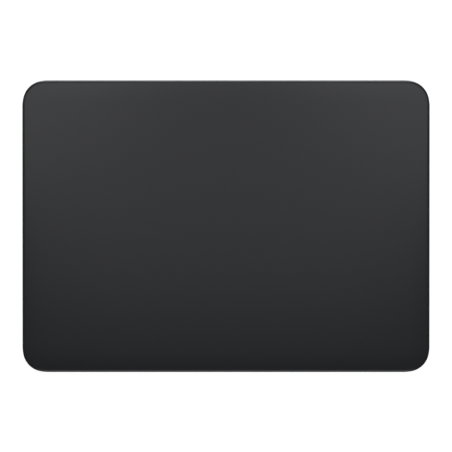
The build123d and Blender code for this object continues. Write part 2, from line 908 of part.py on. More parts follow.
# Battery: a bevelled pouch with a thin lip at its right end, on strips of adhesive
with BuildPart() as battery_cell:
    with BuildSketch(Plane.XY.offset(battery_bottom)):
        with Locations((battery_x, battery_y)):
            RectangleRounded(battery_length, battery_depth, battery_corner_radius)
    extrude(amount=battery_thickness)
    flats = battery_cell.faces().sort_by(Axis.Z)
    chamfer(flats[0].edges() + flats[-1].edges(), battery_edge_chamfer)
    with BuildSketch(Plane.XY.offset(lip_top)):
        with Locations((battery_lip_end - battery_lip, battery_y)):
            Rectangle(2 * battery_lip, battery_depth - 2 * battery_lip_margin)
    extrude(amount=-battery_lip_thickness)
battery_cell.part.label = "battery_cell"
export_step(battery_cell.part, "parts/battery_cell.step")

with BuildPart() as battery_adhesive:
    with BuildSketch(Plane.XY.offset(floor_top)):
        with Locations((battery_x, battery_y)):
            with GridLocations(battery_length / battery_tape_count, 0, battery_tape_count, 1):
                Rectangle(battery_tape_width, battery_depth - 2 * battery_lip_margin)
    extrude(amount=battery_tape_thickness)
battery_adhesive.part.label = "battery_adhesive"
export_step(battery_adhesive.part, "parts/battery_adhesive.step")

protection_width = battery_lip - 2 * protection_margin
protection_x = battery_lip_end - battery_lip / 2
with BuildPart() as battery_protection_board:
    with BuildSketch(Plane.XY.offset(lip_top)):
        with Locations((protection_x, battery_y)):
            Rectangle(protection_width, protection_length)
    extrude(amount=protection_thickness)
battery_protection_board.part.label = "battery_protection_board"
export_step(battery_protection_board.part, "parts/battery_protection_board.step")

# Logic board: a block with a narrow tab that reaches back to the cable of the port
with BuildPart() as logic_board:
    with BuildSketch(board_plane):
        with Locations((board_x, board_y)):
            RectangleRounded(board_width, board_depth, board_corner)
        with Locations((strip_x, (board_y + tab_rear) / 2)):
            RectangleRounded(board_strip_width, tab_rear - board_y, board_corner)
        with Locations(*board_screw_places):
            Circle(small_shank_radius + screw_play, mode=Mode.SUBTRACT)
    extrude(amount=board_thickness)
logic_board.part.label = "logic_board"
export_step(logic_board.part, "parts/logic_board.step")

with BuildPart() as board_screws:
    add(screws(Plane.XY.offset(board_top), board_screw_places, board_thickness))
board_screws.part.label = "board_screws"
export_step(board_screws.part, "parts/board_screws.step")

# Shields: two thin cans over the processor and the power parts
switch_socket_y = board_rear - socket_inset - socket_width / 2
front_socket_y = board_front + socket_inset + socket_width / 2
processor_y = switch_socket_y - (socket_width + processor_shield_width) / 2 - socket_inset
power_y = processor_y - (processor_shield_width + power_shield_width) / 2 - shield_spacing
power_x = main_left + socket_inset + power_shield_length / 2
for name, x, y, length, breadth in (
    ("processor_shield", main_x, processor_y, processor_shield_length, processor_shield_width),
    ("power_shield", power_x, power_y, power_shield_length, power_shield_width),
):
    with BuildPart() as shield:
        with BuildSketch(Plane.XY.offset(board_top)):
            with Locations((x, y)):
                RectangleRounded(length, breadth, shield_corner)
        extrude(amount=shield_height)
        underneath = shield.faces().sort_by(Axis.Z)[0]
        offset(amount=-shield_sheet, openings=underneath)
    shield.part.label = name
    export_step(shield.part, f"parts/{name}.step")

# Chips in the open and under the shields, and a row of small passive parts
chips_x = (power_x + power_shield_length / 2 + board_right) / 2
passives_y = power_y + (power_shield_width + shield_spacing) / 2
with BuildPart() as board_chips:
    with BuildSketch(Plane.XY.offset(board_top)):
        with Locations((main_x, processor_y)):
            Rectangle(2 * chip_size, 2 * chip_size)
        with Locations((power_x, power_y)):
            Rectangle(chip_size, chip_size)
        with Locations((chips_x, power_y)):
            with GridLocations(chip_spacing, chip_spacing, 2, 2):
                Rectangle(chip_size, chip_size)
    extrude(amount=chip_thickness)
    with BuildSketch(Plane.XY.offset(board_top)):
        with Locations((main_x, passives_y)):
            with GridLocations(passive_spacing, 0, passive_count, 1):
                Rectangle(passive_width, passive_length)
    extrude(amount=passive_thickness)
board_chips.part.label = "board_chips"
export_step(board_chips.part, "parts/board_chips.step")

# Sockets for the flat cables: across the board at its edges, and lengthwise on its strip
front_socket_x = board_left + board_screw_inset + small_head_radius + socket_inset
actuator_socket_x = front_socket_x + socket_length / 2
side_socket_x = board_left + socket_inset + socket_width / 2
switch_cable_x = switch_x - switch_length / 2 + switch_cable_from_end + cable_width / 2
sensor_socket_y = board_rear - board_screw_inset - small_head_radius - socket_length / 2
with BuildPart() as board_sockets:
    with BuildSketch(Plane.XY.offset(board_top)):
        across = (
            (actuator_socket_x, front_socket_y),
            (antenna_x, front_socket_y),
            (switch_cable_x, switch_socket_y),
            (strip_x, sensor_socket_y),
        )
        with Locations(*across):
            RectangleRounded(socket_length, socket_width, socket_corner)
        with Locations((side_socket_x, battery_lead_y), (side_socket_x, port_cable_y)):
            RectangleRounded(socket_width, socket_length, socket_corner)
    extrude(amount=socket_height)
board_sockets.part.label = "board_sockets"
export_step(board_sockets.part, "parts/board_sockets.step")

# Antenna board on the floor, over its window
with BuildPart() as antenna:
    with BuildSketch(Plane.XY.offset(floor_top)):
        with Locations((antenna_x, antenna_y)):
            RectangleRounded(antenna_length, antenna_width, antenna_corner)
    extrude(amount=antenna_thickness)
antenna.part.label = "antenna"
export_step(antenna.part, "parts/antenna.step")

# Flat cables. Each lies on its socket at one end and on what it serves at the other.
socket_reach = socket_inset + socket_width
with BuildPart() as battery_lead:
    with BuildSketch(Plane.XZ.offset(-battery_lead_y)):
        battery_lead_start = protection_x - protection_width / 2
        with Locations(((battery_lead_start + board_left + socket_reach) / 2, cable_z)):
            Rectangle(board_left + socket_reach - battery_lead_start, cable_thickness)
    extrude(amount=cable_width / 2, both=True)
battery_lead.part.label = "battery_lead"
export_step(battery_lead.part, "parts/battery_lead.step")

step_cable_z = port_step_top + cable_thickness / 2
port_cable_step_end = bracket_half + bracket_margin
port_cable_points = (
    (-(contact_count * contact_pitch) / 2, step_cable_z),
    (port_cable_step_end, step_cable_z),
    (port_cable_step_end + cable_slope, floor_cable_z),
    (board_left - cable_slope, floor_cable_z),
    (board_left, cable_z),
    (board_left + socket_reach, cable_z),
)
with BuildPart() as port_flex:
    with BuildSketch(Plane.XZ.offset(-port_cable_y)):
        add(ribbon(port_cable_points))
    extrude(amount=cable_width / 2, both=True)
port_flex.part.label = "port_flex"
export_step(port_flex.part, "parts/port_flex.step")

with BuildPart() as switch_flex:
    switch_cable_start = level_y(switch_front_along, port_drop) - cable_seam
    switch_cable_end = switch_socket_y - socket_width / 2
    with BuildSketch(Plane.YZ.offset(switch_cable_x)):
        with Locations(((switch_cable_start + switch_cable_end) / 2, cable_z)):
            Rectangle(switch_cable_start - switch_cable_end, cable_thickness)
    extrude(amount=cable_width / 2, both=True)
switch_flex.part.label = "switch_flex"
export_step(switch_flex.part, "parts/switch_flex.step")

# The cable of the actuator turns a corner on the floor
actuator_cable_y = level_y(actuator_along, actuator_plate_drop)
actuator_cable_top = (
    height_at(actuator_along + cable_width / 2, actuator_plate_drop) + cable_thickness / 2
)
actuator_cable_out = actuator_socket_x + cable_width / 2
actuator_cable_points = (
    (actuator_half - cable_grip, actuator_cable_top),
    (actuator_half, actuator_cable_top),
    (actuator_half + cable_slope, floor_cable_z),
    (actuator_cable_out, floor_cable_z),
)
board_cable_points = (
    (actuator_cable_y - cable_width / 2, floor_cable_z),
    (board_front - cable_slope, floor_cable_z),
    (board_front, cable_z),
    (board_front + socket_reach, cable_z),
)
with BuildPart() as actuator_lead:
    with BuildSketch(Plane.XZ.offset(-actuator_cable_y)):
        add(ribbon(actuator_cable_points))
    extrude(amount=cable_width / 2, both=True)
    with BuildSketch(Plane.YZ.offset(actuator_socket_x)):
        add(ribbon(board_cable_points))
    extrude(amount=cable_width / 2, both=True)
actuator_lead.part.label = "actuator_lead"
export_step(actuator_lead.part, "parts/actuator_lead.step")

antenna_cable_z = floor_top + antenna_thickness + cable_thickness / 2
antenna_edge = antenna_y + antenna_width / 2
antenna_cable_points = (
    (antenna_edge - cable_grip, antenna_cable_z),
    (antenna_edge, antenna_cable_z),
    (antenna_edge + cable_slope, floor_cable_z),
    (board_front - cable_slope, floor_cable_z),
    (board_front, cable_z),
    (board_front + socket_reach, cable_z),
)
with BuildPart() as antenna_flex:
    with BuildSketch(Plane.YZ.offset(antenna_x)):
        add(ribbon(antenna_cable_points))
    extrude(amount=cable_width / 2, both=True)
antenna_flex.part.label = "antenna_flex"
export_step(antenna_flex.part, "parts/antenna_flex.step")

# Support plate: a steel ladder frame that the flexures carry
front_edge = plate_inset - deck_length / 2
actuator_room = core_width / 2 + actuator_window_room
actuator_window_side = core_end + actuator_window_room
window_side = width / 2 - plate_inset - plate_side_band
front_window_side = front_flexure_end - flexure_length - plate_bar
rear_windows_start = actuator_along + actuator_room + plate_bar
rear_windows_end = rear_flexure_along - flexure_width / 2 - plate_hole_room
front_flexure_rear = front_flexure_along + flexure_width / 2
bar_middle = (battery_lip_end + board_left) / 2
plate_windows = (
    (
        -front_window_side,
        front_window_side,
        front_edge + plate_bar,
        actuator_along - actuator_room - plate_bar,
    ),
    (
        -actuator_window_side,
        actuator_window_side,
        actuator_along - actuator_room,
        actuator_along + actuator_room,
    ),
    (
        -window_side,
        -actuator_window_side - plate_bar,
        front_flexure_rear + plate_bar,
        rear_windows_start - plate_bar,
    ),
    (
        actuator_window_side + plate_bar,
        window_side,
        front_flexure_rear + plate_bar,
        rear_windows_start - plate_bar,
    ),
    (-window_side, bar_middle - plate_bar / 2, rear_windows_start, rear_windows_end),
    (bar_middle + plate_bar / 2, window_side, rear_windows_start, rear_windows_end),
)
with BuildPart() as support_plate:
    with BuildSketch(under_glass(plate_drop)):
        add(outline(plate_inset))
        for left, right, start, end in plate_windows:
            with Locations(((left + right) / 2, (start + end) / 2)):
                RectangleRounded(
                    right - left, end - start, window_corner, mode=Mode.SUBTRACT
                )
        with Locations(*flexure_screw_places):
            Circle(small_head_radius + plate_hole_room, mode=Mode.SUBTRACT)
    extrude(amount=plate_thickness)
support_plate.part.label = "support_plate"
export_step(support_plate.part, "parts/support_plate.step")

# Spacers between the tips of the flexures and the support plate
with BuildPart() as flexure_spacers:
    with BuildSketch(under_glass(spacer_drop)):
        with Locations(*tip_places):
            Circle(spacer_radius)
    extrude(amount=spacer_thickness)
flexure_spacers.part.label = "flexure_spacers"
export_step(flexure_spacers.part, "parts/flexure_spacers.step")

# Gel pads over the flexures and on both side bands of the support plate
with BuildPart() as gel_pads:
    with BuildSketch(under_glass(plate_top_drop)):
        arm_places = [(s * (e - flexure_length / 2), a) for n, s, e, a in flexure_places]
        with Locations(*arm_places):
            RectangleRounded(gel_length, gel_width, gel_corner)
        side_band_x = window_side + plate_side_band / 2
        with Locations((-side_band_x, side_gel_along), (side_band_x, side_gel_along)):
            RectangleRounded(gel_width, gel_length, gel_corner)
    extrude(amount=gel_thickness)
gel_pads.part.label = "gel_pads"
export_step(gel_pads.part, "parts/gel_pads.step")

# Touch plate: glass over the whole top, its adhesive and the sensor board
with BuildPart() as glass_surface:
    with BuildSketch(under_glass(glass_thickness)):
        add(outline(0))
    extrude(amount=glass_thickness)
    through = glass_surface.faces().sort_by(Axis(deck.origin, deck.z_dir))
    fillet(through[-1].edges(), glass_edge_radius)
    chamfer(through[0].edges(), glass_under_chamfer)
glass_surface.part.label = "glass_surface"
export_step(glass_surface.part, "parts/glass_surface.step")

with BuildPart() as sensor_adhesive:
    with BuildSketch(under_glass(sensor_top_drop)):
        add(outline(sensor_inset))
    extrude(amount=adhesive_thickness)
sensor_adhesive.part.label = "sensor_adhesive"
export_step(sensor_adhesive.part, "parts/sensor_adhesive.step")

with BuildPart() as sensor_board:
    with BuildSketch(under_glass(sensor_drop)):
        add(outline(sensor_inset))
    extrude(amount=sensor_thickness)
sensor_board.part.label = "sensor_board"
export_step(sensor_board.part, "parts/sensor_board.step")

# Touch controllers under the sensor board, in the front window of the support plate
chips_along = (plate_windows[0][2] + plate_windows[0][3]) / 2
with BuildPart() as touch_chips:
    with BuildSketch(under_glass(sensor_drop)):
        with Locations((0, chips_along)):
            Rectangle(touch_chip_size, touch_chip_size)
            with GridLocations(2 * touch_chip_spacing, 0, 2, 1):
                Rectangle(touch_chip_small, touch_chip_small)
    extrude(amount=-touch_chip_thickness)
touch_chips.part.label = "touch_chips"
export_step(touch_chips.part, "parts/touch_chips.step")

# Armature between the two cores: a flange on the sensor board and a bar under it
flange_drop = sensor_drop + armature_flange_thickness
armature_drop = actuator_plate_drop - press_travel - moving_gap
with BuildPart() as armature:
    with BuildSketch(under_glass(sensor_drop)):
        with Locations((0, actuator_along)):
            RectangleRounded(armature_flange_width, core_width, core_corner)
    extrude(amount=-armature_flange_thickness)
    with BuildSketch(under_glass(flange_drop)):
        with Locations((0, actuator_along)):
            RectangleRounded(armature_width, core_width, core_corner)
    extrude(amount=flange_drop - armature_drop)
armature.part.label = "armature"
export_step(armature.part, "parts/armature.step")

# Socket under the sensor board, and the cable that follows the board down to the other
sensor_plug_y = sensor_socket_y - sensor_cable_run
sensor_plug_drop = sensor_drop + socket_height
sensor_plug_along = sensor_plug_y - deck.origin.Y
with BuildPart() as sensor_socket:
    with BuildSketch(under_glass(sensor_drop)):
        with Locations((strip_x, sensor_plug_along)):
            RectangleRounded(socket_length, socket_width, socket_corner)
    extrude(amount=-socket_height)
sensor_socket.part.label = "sensor_socket"
export_step(sensor_socket.part, "parts/sensor_socket.step")

plug_cable_drop = sensor_plug_drop + cable_thickness / 2
plug_start = sensor_plug_along - socket_width / 2
plug_end = sensor_plug_along + socket_width / 2 + socket_inset
sensor_cable_points = (
    (level_y(plug_start, plug_cable_drop), height_at(plug_start, plug_cable_drop)),
    (level_y(plug_end, plug_cable_drop), height_at(plug_end, plug_cable_drop)),
    (sensor_socket_y - socket_width / 2 - socket_inset, cable_z),
    (sensor_socket_y + socket_width / 2, cable_z),
)
with BuildPart() as sensor_flex:
    with BuildSketch(Plane.YZ.offset(strip_x)):
        add(ribbon(sensor_cable_points))
    extrude(amount=cable_width / 2, both=True)
sensor_flex.part.label = "sensor_flex"
export_step(sensor_flex.part, "parts/sensor_flex.step")
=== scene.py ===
"""A wireless desk trackpad: a thin aluminium wedge under one dark pane of touch glass.

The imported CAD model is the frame. This script dresses it: it adds the pane with its soft edge
and the other pieces that deserve a finer surface than the CAD solid has, gives every piece a
procedural finish, and sets up the studio that the photograph was taken in.
"""

import logging
import math
from collections.abc import Callable
from dataclasses import dataclass, field
from enum import Enum

import bmesh
import bpy
import numpy as np
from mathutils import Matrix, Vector


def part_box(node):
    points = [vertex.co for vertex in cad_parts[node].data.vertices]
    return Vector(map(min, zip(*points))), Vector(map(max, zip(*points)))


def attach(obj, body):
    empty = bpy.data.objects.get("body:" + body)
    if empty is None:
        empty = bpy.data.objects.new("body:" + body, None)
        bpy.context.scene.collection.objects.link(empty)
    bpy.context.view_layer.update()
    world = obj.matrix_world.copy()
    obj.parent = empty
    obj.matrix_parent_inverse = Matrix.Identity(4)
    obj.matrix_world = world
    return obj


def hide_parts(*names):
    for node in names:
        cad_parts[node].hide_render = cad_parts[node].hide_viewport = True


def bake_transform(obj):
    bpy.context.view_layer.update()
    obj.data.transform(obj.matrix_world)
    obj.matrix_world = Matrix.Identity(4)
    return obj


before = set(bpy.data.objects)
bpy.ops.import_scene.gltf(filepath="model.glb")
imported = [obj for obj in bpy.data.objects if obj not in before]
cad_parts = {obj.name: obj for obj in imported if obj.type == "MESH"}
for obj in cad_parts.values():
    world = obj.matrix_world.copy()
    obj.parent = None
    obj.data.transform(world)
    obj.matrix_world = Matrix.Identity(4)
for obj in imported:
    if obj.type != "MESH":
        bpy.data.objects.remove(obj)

log = logging.getLogger("trackpad")
MM = 0.001
RIGHT_ANGLE = math.pi / 2
FULL_TURN = 2 * math.pi

RGB = tuple[float, float, float]
Point = tuple[float, float, float]
Faces = list[tuple[int, ...]]
Socket = str | int
Value = float | tuple[bpy.types.Node, Socket]

# What every pattern group takes and gives, with the type of each socket
GROUP_INPUTS = {
    "Vector": "Vector",
    "Color": "Color",
    "Second Color": "Color",
    "Scale": "Float",
    "Color Spread": "Float",
    "Roughness": "Float",
    "Roughness Spread": "Float",
}
GROUP_OUTPUTS = {"Color": "Color", "Roughness": "Float", "Height": "Float"}

# The Mix node's colour sockets share their names with its others, so they go by number
MIX_FACTOR, MIX_FIRST, MIX_SECOND, MIX_RESULT = 0, 6, 7, 2

# The grain's slow drift: its scale against the grain's, and its weight in the whole
DRIFT_SCALE = 0.04
DRIFT_SHARE = 0.25
# How much slower a brushed pattern changes along X than across it
BRUSH_STRETCH = 0.02


class Nodes:
    """Adds nodes to one shader tree and joins their sockets."""

    def __init__(self, tree: bpy.types.NodeTree) -> None:
        """Keeps the tree, emptied.

        Args:
            tree: The node tree of a material, a world or a group.
        """
        tree.nodes.clear()
        self.tree = tree

    def add(self, kind: str, **values: object) -> bpy.types.Node:
        """Adds a node and sets its properties or its sockets' own values.

        Args:
            kind: The node's type name without its ShaderNode prefix, or a NodeGroup type's name.
            **values: Properties by their names, and sockets by in_ and their names, with
                underscores for spaces.

        Returns:
            The new node.
        """
        node = self.tree.nodes.new(kind if kind.startswith("NodeGroup") else f"ShaderNode{kind}")
        for name, value in values.items():
            if name.startswith("in_"):
                node.inputs[name.removeprefix("in_").replace("_", " ")].default_value = value
            else:
                setattr(node, name, value)
        return node

    def join(
        self, source: bpy.types.Node, out: Socket, target: bpy.types.Node, into: Socket
    ) -> None:
        """Links one output socket to one input socket, each by its name or number."""
        self.tree.links.new(source.outputs[out], target.inputs[into])

    def math(self, operation: str, first: Value, second: Value) -> bpy.types.Node:
        """Adds a Math node on two values.

        Args:
            operation: The operation of the Math node.
            first: A number, or a pair of a node and its output.
            second: A number, or a pair of a node and its output.

        Returns:
            The Math node.
        """
        node = self.add("Math", operation=operation)
        for place, value in enumerate((first, second)):
            if isinstance(value, tuple):
                self.join(value[0], value[1], node, place)
            else:
                node.inputs[place].default_value = value
        return node


class Pattern(Enum):
    """The procedural patterns that a finish can have."""

    GRAIN = "grain"
    BRUSHED = "brushed"
    TRACES = "traces"
    CRUMPLED = "crumpled"


def grain_mask(nodes: Nodes, start: bpy.types.Node) -> bpy.types.Node:
    """Fine even noise, with a slow drift of a quarter of its weight.

    Args:
        nodes: The nodes of the pattern's group.
        start: The group's input node.

    Returns:
        The node whose first output is the mask.
    """
    fine = nodes.add("TexNoise", in_Detail=2.0)
    slow = nodes.add("TexNoise", in_Detail=1.0)
    slow_scale = nodes.math("MULTIPLY", (start, "Scale"), DRIFT_SCALE)
    for noise in (fine, slow):
        nodes.join(start, "Vector", noise, "Vector")
    nodes.join(start, "Scale", fine, "Scale")
    nodes.join(slow_scale, 0, slow, "Scale")
    part = nodes.math("MULTIPLY", (slow, 0), DRIFT_SHARE)
    rest = nodes.math("MULTIPLY", (fine, 0), 1 - DRIFT_SHARE)
    return nodes.math("ADD", (part, 0), (rest, 0))


def brushed_mask(nodes: Nodes, start: bpy.types.Node) -> bpy.types.Node:
    """Noise stretched fifty times along X, as rolled or brushed sheet has.

    Args:
        nodes: The nodes of the pattern's group.
        start: The group's input node.

    Returns:
        The node whose first output is the mask.
    """
    stretch = nodes.add("Mapping", in_Scale=(BRUSH_STRETCH, 1.0, 1.0))
    noise = nodes.add("TexNoise", in_Detail=3.0)
    nodes.join(start, "Vector", stretch, "Vector")
    nodes.join(stretch, 0, noise, "Vector")
    nodes.join(start, "Scale", noise, "Scale")
    return noise


def traces_mask(nodes: Nodes, start: bpy.types.Node) -> bpy.types.Node:
    """Thin straight tracks of a printed board: the joints of a long offset brick pattern.

    Args:
        nodes: The nodes of the pattern's group.
        start: The group's input node.

    Returns:
        The node whose first output is the mask.
    """
    bricks = nodes.add(
        "TexBrick",
        in_Color1=(0, 0, 0, 1),
        in_Color2=(0, 0, 0, 1),
        in_Mortar=(1, 1, 1, 1),
        in_Mortar_Size=0.06,
        in_Brick_Width=2.6,
        in_Row_Height=0.5,
    )
    nodes.join(start, "Vector", bricks, "Vector")
    nodes.join(start, "Scale", bricks, "Scale")
    return bricks


def crumpled_mask(nodes: Nodes, start: bpy.types.Node) -> bpy.types.Node:
    """Broad soft facets, as foil has that was pressed over something.

    Args:
        nodes: The nodes of the pattern's group.
        start: The group's input node.

    Returns:
        The node whose first output is the mask.
    """
    cells = nodes.add("TexVoronoi", feature="SMOOTH_F1", in_Smoothness=0.6)
    nodes.join(start, "Vector", cells, "Vector")
    nodes.join(start, "Scale", cells, "Scale")
    return cells


MASKS: dict[Pattern, Callable[[Nodes, bpy.types.Node], bpy.types.Node]] = {
    Pattern.GRAIN: grain_mask,
    Pattern.BRUSHED: brushed_mask,
    Pattern.TRACES: traces_mask,
    Pattern.CRUMPLED: crumpled_mask,
}


def pattern_group(pattern: Pattern) -> bpy.types.NodeTree:
    """Builds the shader node group of a pattern once, and finds it again after that.

    Every group mixes Color to Second Color by mask * Color Spread, and puts out
    Roughness + Roughness Spread * (mask - 1/2) and the mask itself as Height.

    Args:
        pattern: Which pattern the mask has.

    Returns:
        The node group.
    """
    name = f"{pattern.value}_pattern"
    if name in bpy.data.node_groups:
        return bpy.data.node_groups[name]
    group = bpy.data.node_groups.new(name, "ShaderNodeTree")
    for way, sockets in (("INPUT", GROUP_INPUTS), ("OUTPUT", GROUP_OUTPUTS)):
        for label, kind in sockets.items():
            group.interface.new_socket(label, in_out=way, socket_type=f"NodeSocket{kind}")
    nodes = Nodes(group)
    start = nodes.add("NodeGroupInput")
    end = nodes.add("NodeGroupOutput")
    mask = MASKS[pattern](nodes, start)
    share = nodes.math("MULTIPLY", (mask, 0), (start, "Color Spread"))
    mix = nodes.add("Mix", data_type="RGBA", clamp_factor=True)
    nodes.join(share, 0, mix, MIX_FACTOR)
    nodes.join(start, "Color", mix, MIX_FIRST)
    nodes.join(start, "Second Color", mix, MIX_SECOND)
    nodes.join(mix, MIX_RESULT, end, "Color")
    centred = nodes.math("SUBTRACT", (mask, 0), 0.5)
    spread = nodes.math("MULTIPLY", (centred, 0), (start, "Roughness Spread"))
    rough = nodes.math("ADD", (start, "Roughness"), (spread, 0))
    nodes.join(rough, 0, end, "Roughness")
    nodes.join(mask, 0, end, "Height")
    return group


@dataclass(frozen=True)
class Finish:
    """One finish: a pattern group that feeds a Principled shader.

    Attributes:
        name: Its name, which the material takes.
        color: Its main colour.
        second: The colour that the pattern brings in.
        roughness: Its middle roughness.
        pattern: The pattern's kind.
        scale: The pattern's repeats in a metre.
        spread: How far the pattern goes towards the second colour.
        rough_spread: How far the pattern changes the roughness.
        depth: The relief's depth in metres.
        bump: The relief's strength.
        metallic: How metallic it is.
        ior: Its refractive index.
        coat: The weight of its clear coat.
        coat_roughness: The roughness of that coat.
        subsurface: How much light it lets in and out again, over a millimetre.
        turn: The pattern's turn about Z in degrees.
    """

    name: str
    color: RGB
    second: RGB
    roughness: float
    pattern: Pattern = Pattern.GRAIN
    scale: float = 3000.0
    spread: float = 0.5
    rough_spread: float = 0.1
    depth: float = 0.00001
    bump: float = 0.15
    metallic: float = 0.0
    ior: float = 1.5
    coat: float = 0.0
    coat_roughness: float = 0.2
    subsurface: float = 0.0
    turn: float = 0.0

    def material(self) -> bpy.types.Material:
        """Builds the material once, and finds it again after that.

        Returns:
            The material.
        """
        name = f"{self.name}_finish"
        if name in bpy.data.materials:
            return bpy.data.materials[name]
        material = bpy.data.materials.new(name)
        material.use_nodes = True
        material.diffuse_color = (*self.color, 1.0)
        nodes = Nodes(material.node_tree)
        place = nodes.add("TexCoord")
        turned = nodes.add("Mapping", in_Rotation=(0.0, 0.0, math.radians(self.turn)))
        pattern = nodes.add(
            "Group",
            node_tree=pattern_group(self.pattern),
            in_Color=(*self.color, 1.0),
            in_Second_Color=(*self.second, 1.0),
            in_Scale=self.scale,
            in_Color_Spread=self.spread,
            in_Roughness=self.roughness,
            in_Roughness_Spread=self.rough_spread,
        )
        bump = nodes.add("Bump", in_Strength=self.bump, in_Distance=self.depth)
        shader = nodes.add(
            "BsdfPrincipled",
            in_Metallic=self.metallic,
            in_IOR=self.ior,
            in_Coat_Weight=self.coat,
            in_Coat_Roughness=self.coat_roughness,
            in_Subsurface_Weight=self.subsurface,
            in_Subsurface_Scale=MM,
        )
        end = nodes.add("OutputMaterial")
        nodes.join(place, "Object", turned, "Vector")
        nodes.join(turned, 0, pattern, "Vector")
        nodes.join(pattern, "Color", shader, "Base Color")
        nodes.join(pattern, "Roughness", shader, "Roughness")
        nodes.join(pattern, "Height", bump, "Height")
        nodes.join(bump, 0, shader, "Normal")
        nodes.join(shader, 0, end, 0)
        return material


GLASS = Finish(
    "touch_glass", (0.0088, 0.0096, 0.0120), (0.0102, 0.0111, 0.0138), 0.28,
    scale=9000.0, rough_spread=0.03, depth=0.000002, bump=0.05, ior=1.45,
)
ALUMINIUM = Finish(
    "blasted_aluminium", (0.80, 0.81, 0.825), (0.72, 0.73, 0.745), 0.34,
    scale=6000.0, spread=0.35, rough_spread=0.08, depth=0.000006, bump=0.12, metallic=1.0,
)
COVER = Finish(
    "cover_plastic", (0.70, 0.70, 0.70), (0.64, 0.64, 0.645), 0.52,
    scale=5000.0, spread=0.4, rough_spread=0.1, depth=0.00001, bump=0.2,
)
RUBBER = Finish(
    "foot_rubber", (0.52, 0.52, 0.525), (0.44, 0.44, 0.445), 0.78,
    scale=2600.0, rough_spread=0.12, depth=0.00003, bump=0.35,
)
ADHESIVE = Finish(
    "adhesive_sheet", (0.05, 0.05, 0.05), (0.07, 0.07, 0.072), 0.6, scale=1500.0,
)
SPRING_STEEL = Finish(
    "spring_steel", (0.62, 0.62, 0.63), (0.50, 0.50, 0.51), 0.30, pattern=Pattern.BRUSHED,
    scale=9000.0, depth=0.000004, bump=0.2, metallic=1.0,
)
PLATE_STEEL = Finish(
    "plate_steel", (0.55, 0.55, 0.56), (0.43, 0.43, 0.44), 0.36, pattern=Pattern.BRUSHED,
    scale=7000.0, depth=0.000006, bump=0.25, metallic=1.0,
)
SCREW_STEEL = Finish(
    "screw_steel", (0.50, 0.50, 0.515), (0.38, 0.38, 0.39), 0.28,
    scale=8000.0, depth=0.000004, metallic=1.0,
)
CORE_STEEL = Finish(
    "core_steel", (0.20, 0.20, 0.21), (0.12, 0.12, 0.125), 0.48, pattern=Pattern.BRUSHED,
    scale=12000.0, depth=0.00001, bump=0.3, metallic=0.9, turn=90.0,
)
COPPER = Finish(
    "coil_copper", (0.74, 0.33, 0.15), (0.46, 0.17, 0.06), 0.24,
    scale=2500.0, spread=0.6, depth=0.000004, metallic=1.0, coat=0.6,
)
GAUGE_FILM = Finish(
    "gauge_film", (0.68, 0.38, 0.10), (0.36, 0.18, 0.04), 0.32, pattern=Pattern.TRACES,
    scale=3000.0, spread=0.8, depth=0.000004, coat=0.4,
)
FLAT_CABLE = Finish(
    "flat_cable", (0.42, 0.20, 0.045), (0.27, 0.12, 0.025), 0.30, pattern=Pattern.TRACES,
    scale=1800.0, spread=0.7, depth=0.000004, coat=0.5,
)
PORT_STEEL = Finish(
    "port_steel", (0.36, 0.36, 0.365), (0.28, 0.28, 0.285), 0.36, pattern=Pattern.BRUSHED,
    scale=8000.0, depth=0.000003, metallic=1.0,
)
PORT_PLASTIC = Finish(
    "port_plastic", (0.020, 0.020, 0.021), (0.032, 0.032, 0.033), 0.46, scale=5000.0,
)
CONTACT_GOLD = Finish(
    "contact_gold", (0.86, 0.62, 0.26), (0.72, 0.48, 0.17), 0.24,
    scale=9000.0, depth=0.000002, metallic=1.0,
)
SWITCH_PLASTIC = Finish(
    "switch_plastic", (0.035, 0.035, 0.037), (0.055, 0.055, 0.057), 0.48, scale=4000.0,
)
KNOB_PLASTIC = Finish(
    "knob_plastic", (0.62, 0.625, 0.635), (0.56, 0.565, 0.575), 0.36,
    scale=6000.0, spread=0.4, depth=0.000006, metallic=0.6,
)
MARKER_GREEN = Finish(
    "marker_green", (0.05, 0.50, 0.13), (0.035, 0.40, 0.10), 0.40, scale=6000.0,
)
POUCH_FOIL = Finish(
    "pouch_foil", (0.50, 0.505, 0.515), (0.40, 0.405, 0.415), 0.38, pattern=Pattern.CRUMPLED,
    scale=260.0, spread=0.35, depth=0.00008, bump=0.22, metallic=0.85,
)
BOARD_GREEN = Finish(
    "board_green", (0.010, 0.085, 0.035), (0.045, 0.20, 0.075), 0.34, pattern=Pattern.TRACES,
    scale=1400.0, spread=0.8, depth=0.00001, bump=0.4, coat=0.3,
)
BOARD_BLACK = Finish(
    "board_black", (0.014, 0.017, 0.021), (0.045, 0.053, 0.062), 0.36, pattern=Pattern.TRACES,
    scale=1400.0, spread=0.8, depth=0.00001, bump=0.4, coat=0.3,
)
SHIELD_STEEL = Finish(
    "shield_steel", (0.50, 0.50, 0.505), (0.42, 0.42, 0.43), 0.55, pattern=Pattern.BRUSHED,
    scale=6000.0, depth=0.000004, metallic=1.0,
)
CHIP_PLASTIC = Finish(
    "chip_plastic", (0.022, 0.022, 0.024), (0.038, 0.038, 0.041), 0.52, scale=5000.0,
)
SOCKET_PLASTIC = Finish(
    "socket_plastic", (0.66, 0.62, 0.50), (0.58, 0.54, 0.42), 0.46, scale=4000.0,
)
GEL = Finish(
    "gel", (0.46, 0.48, 0.52), (0.38, 0.40, 0.44), 0.22,
    scale=900.0, depth=0.00002, subsurface=0.4, coat=0.4,
)

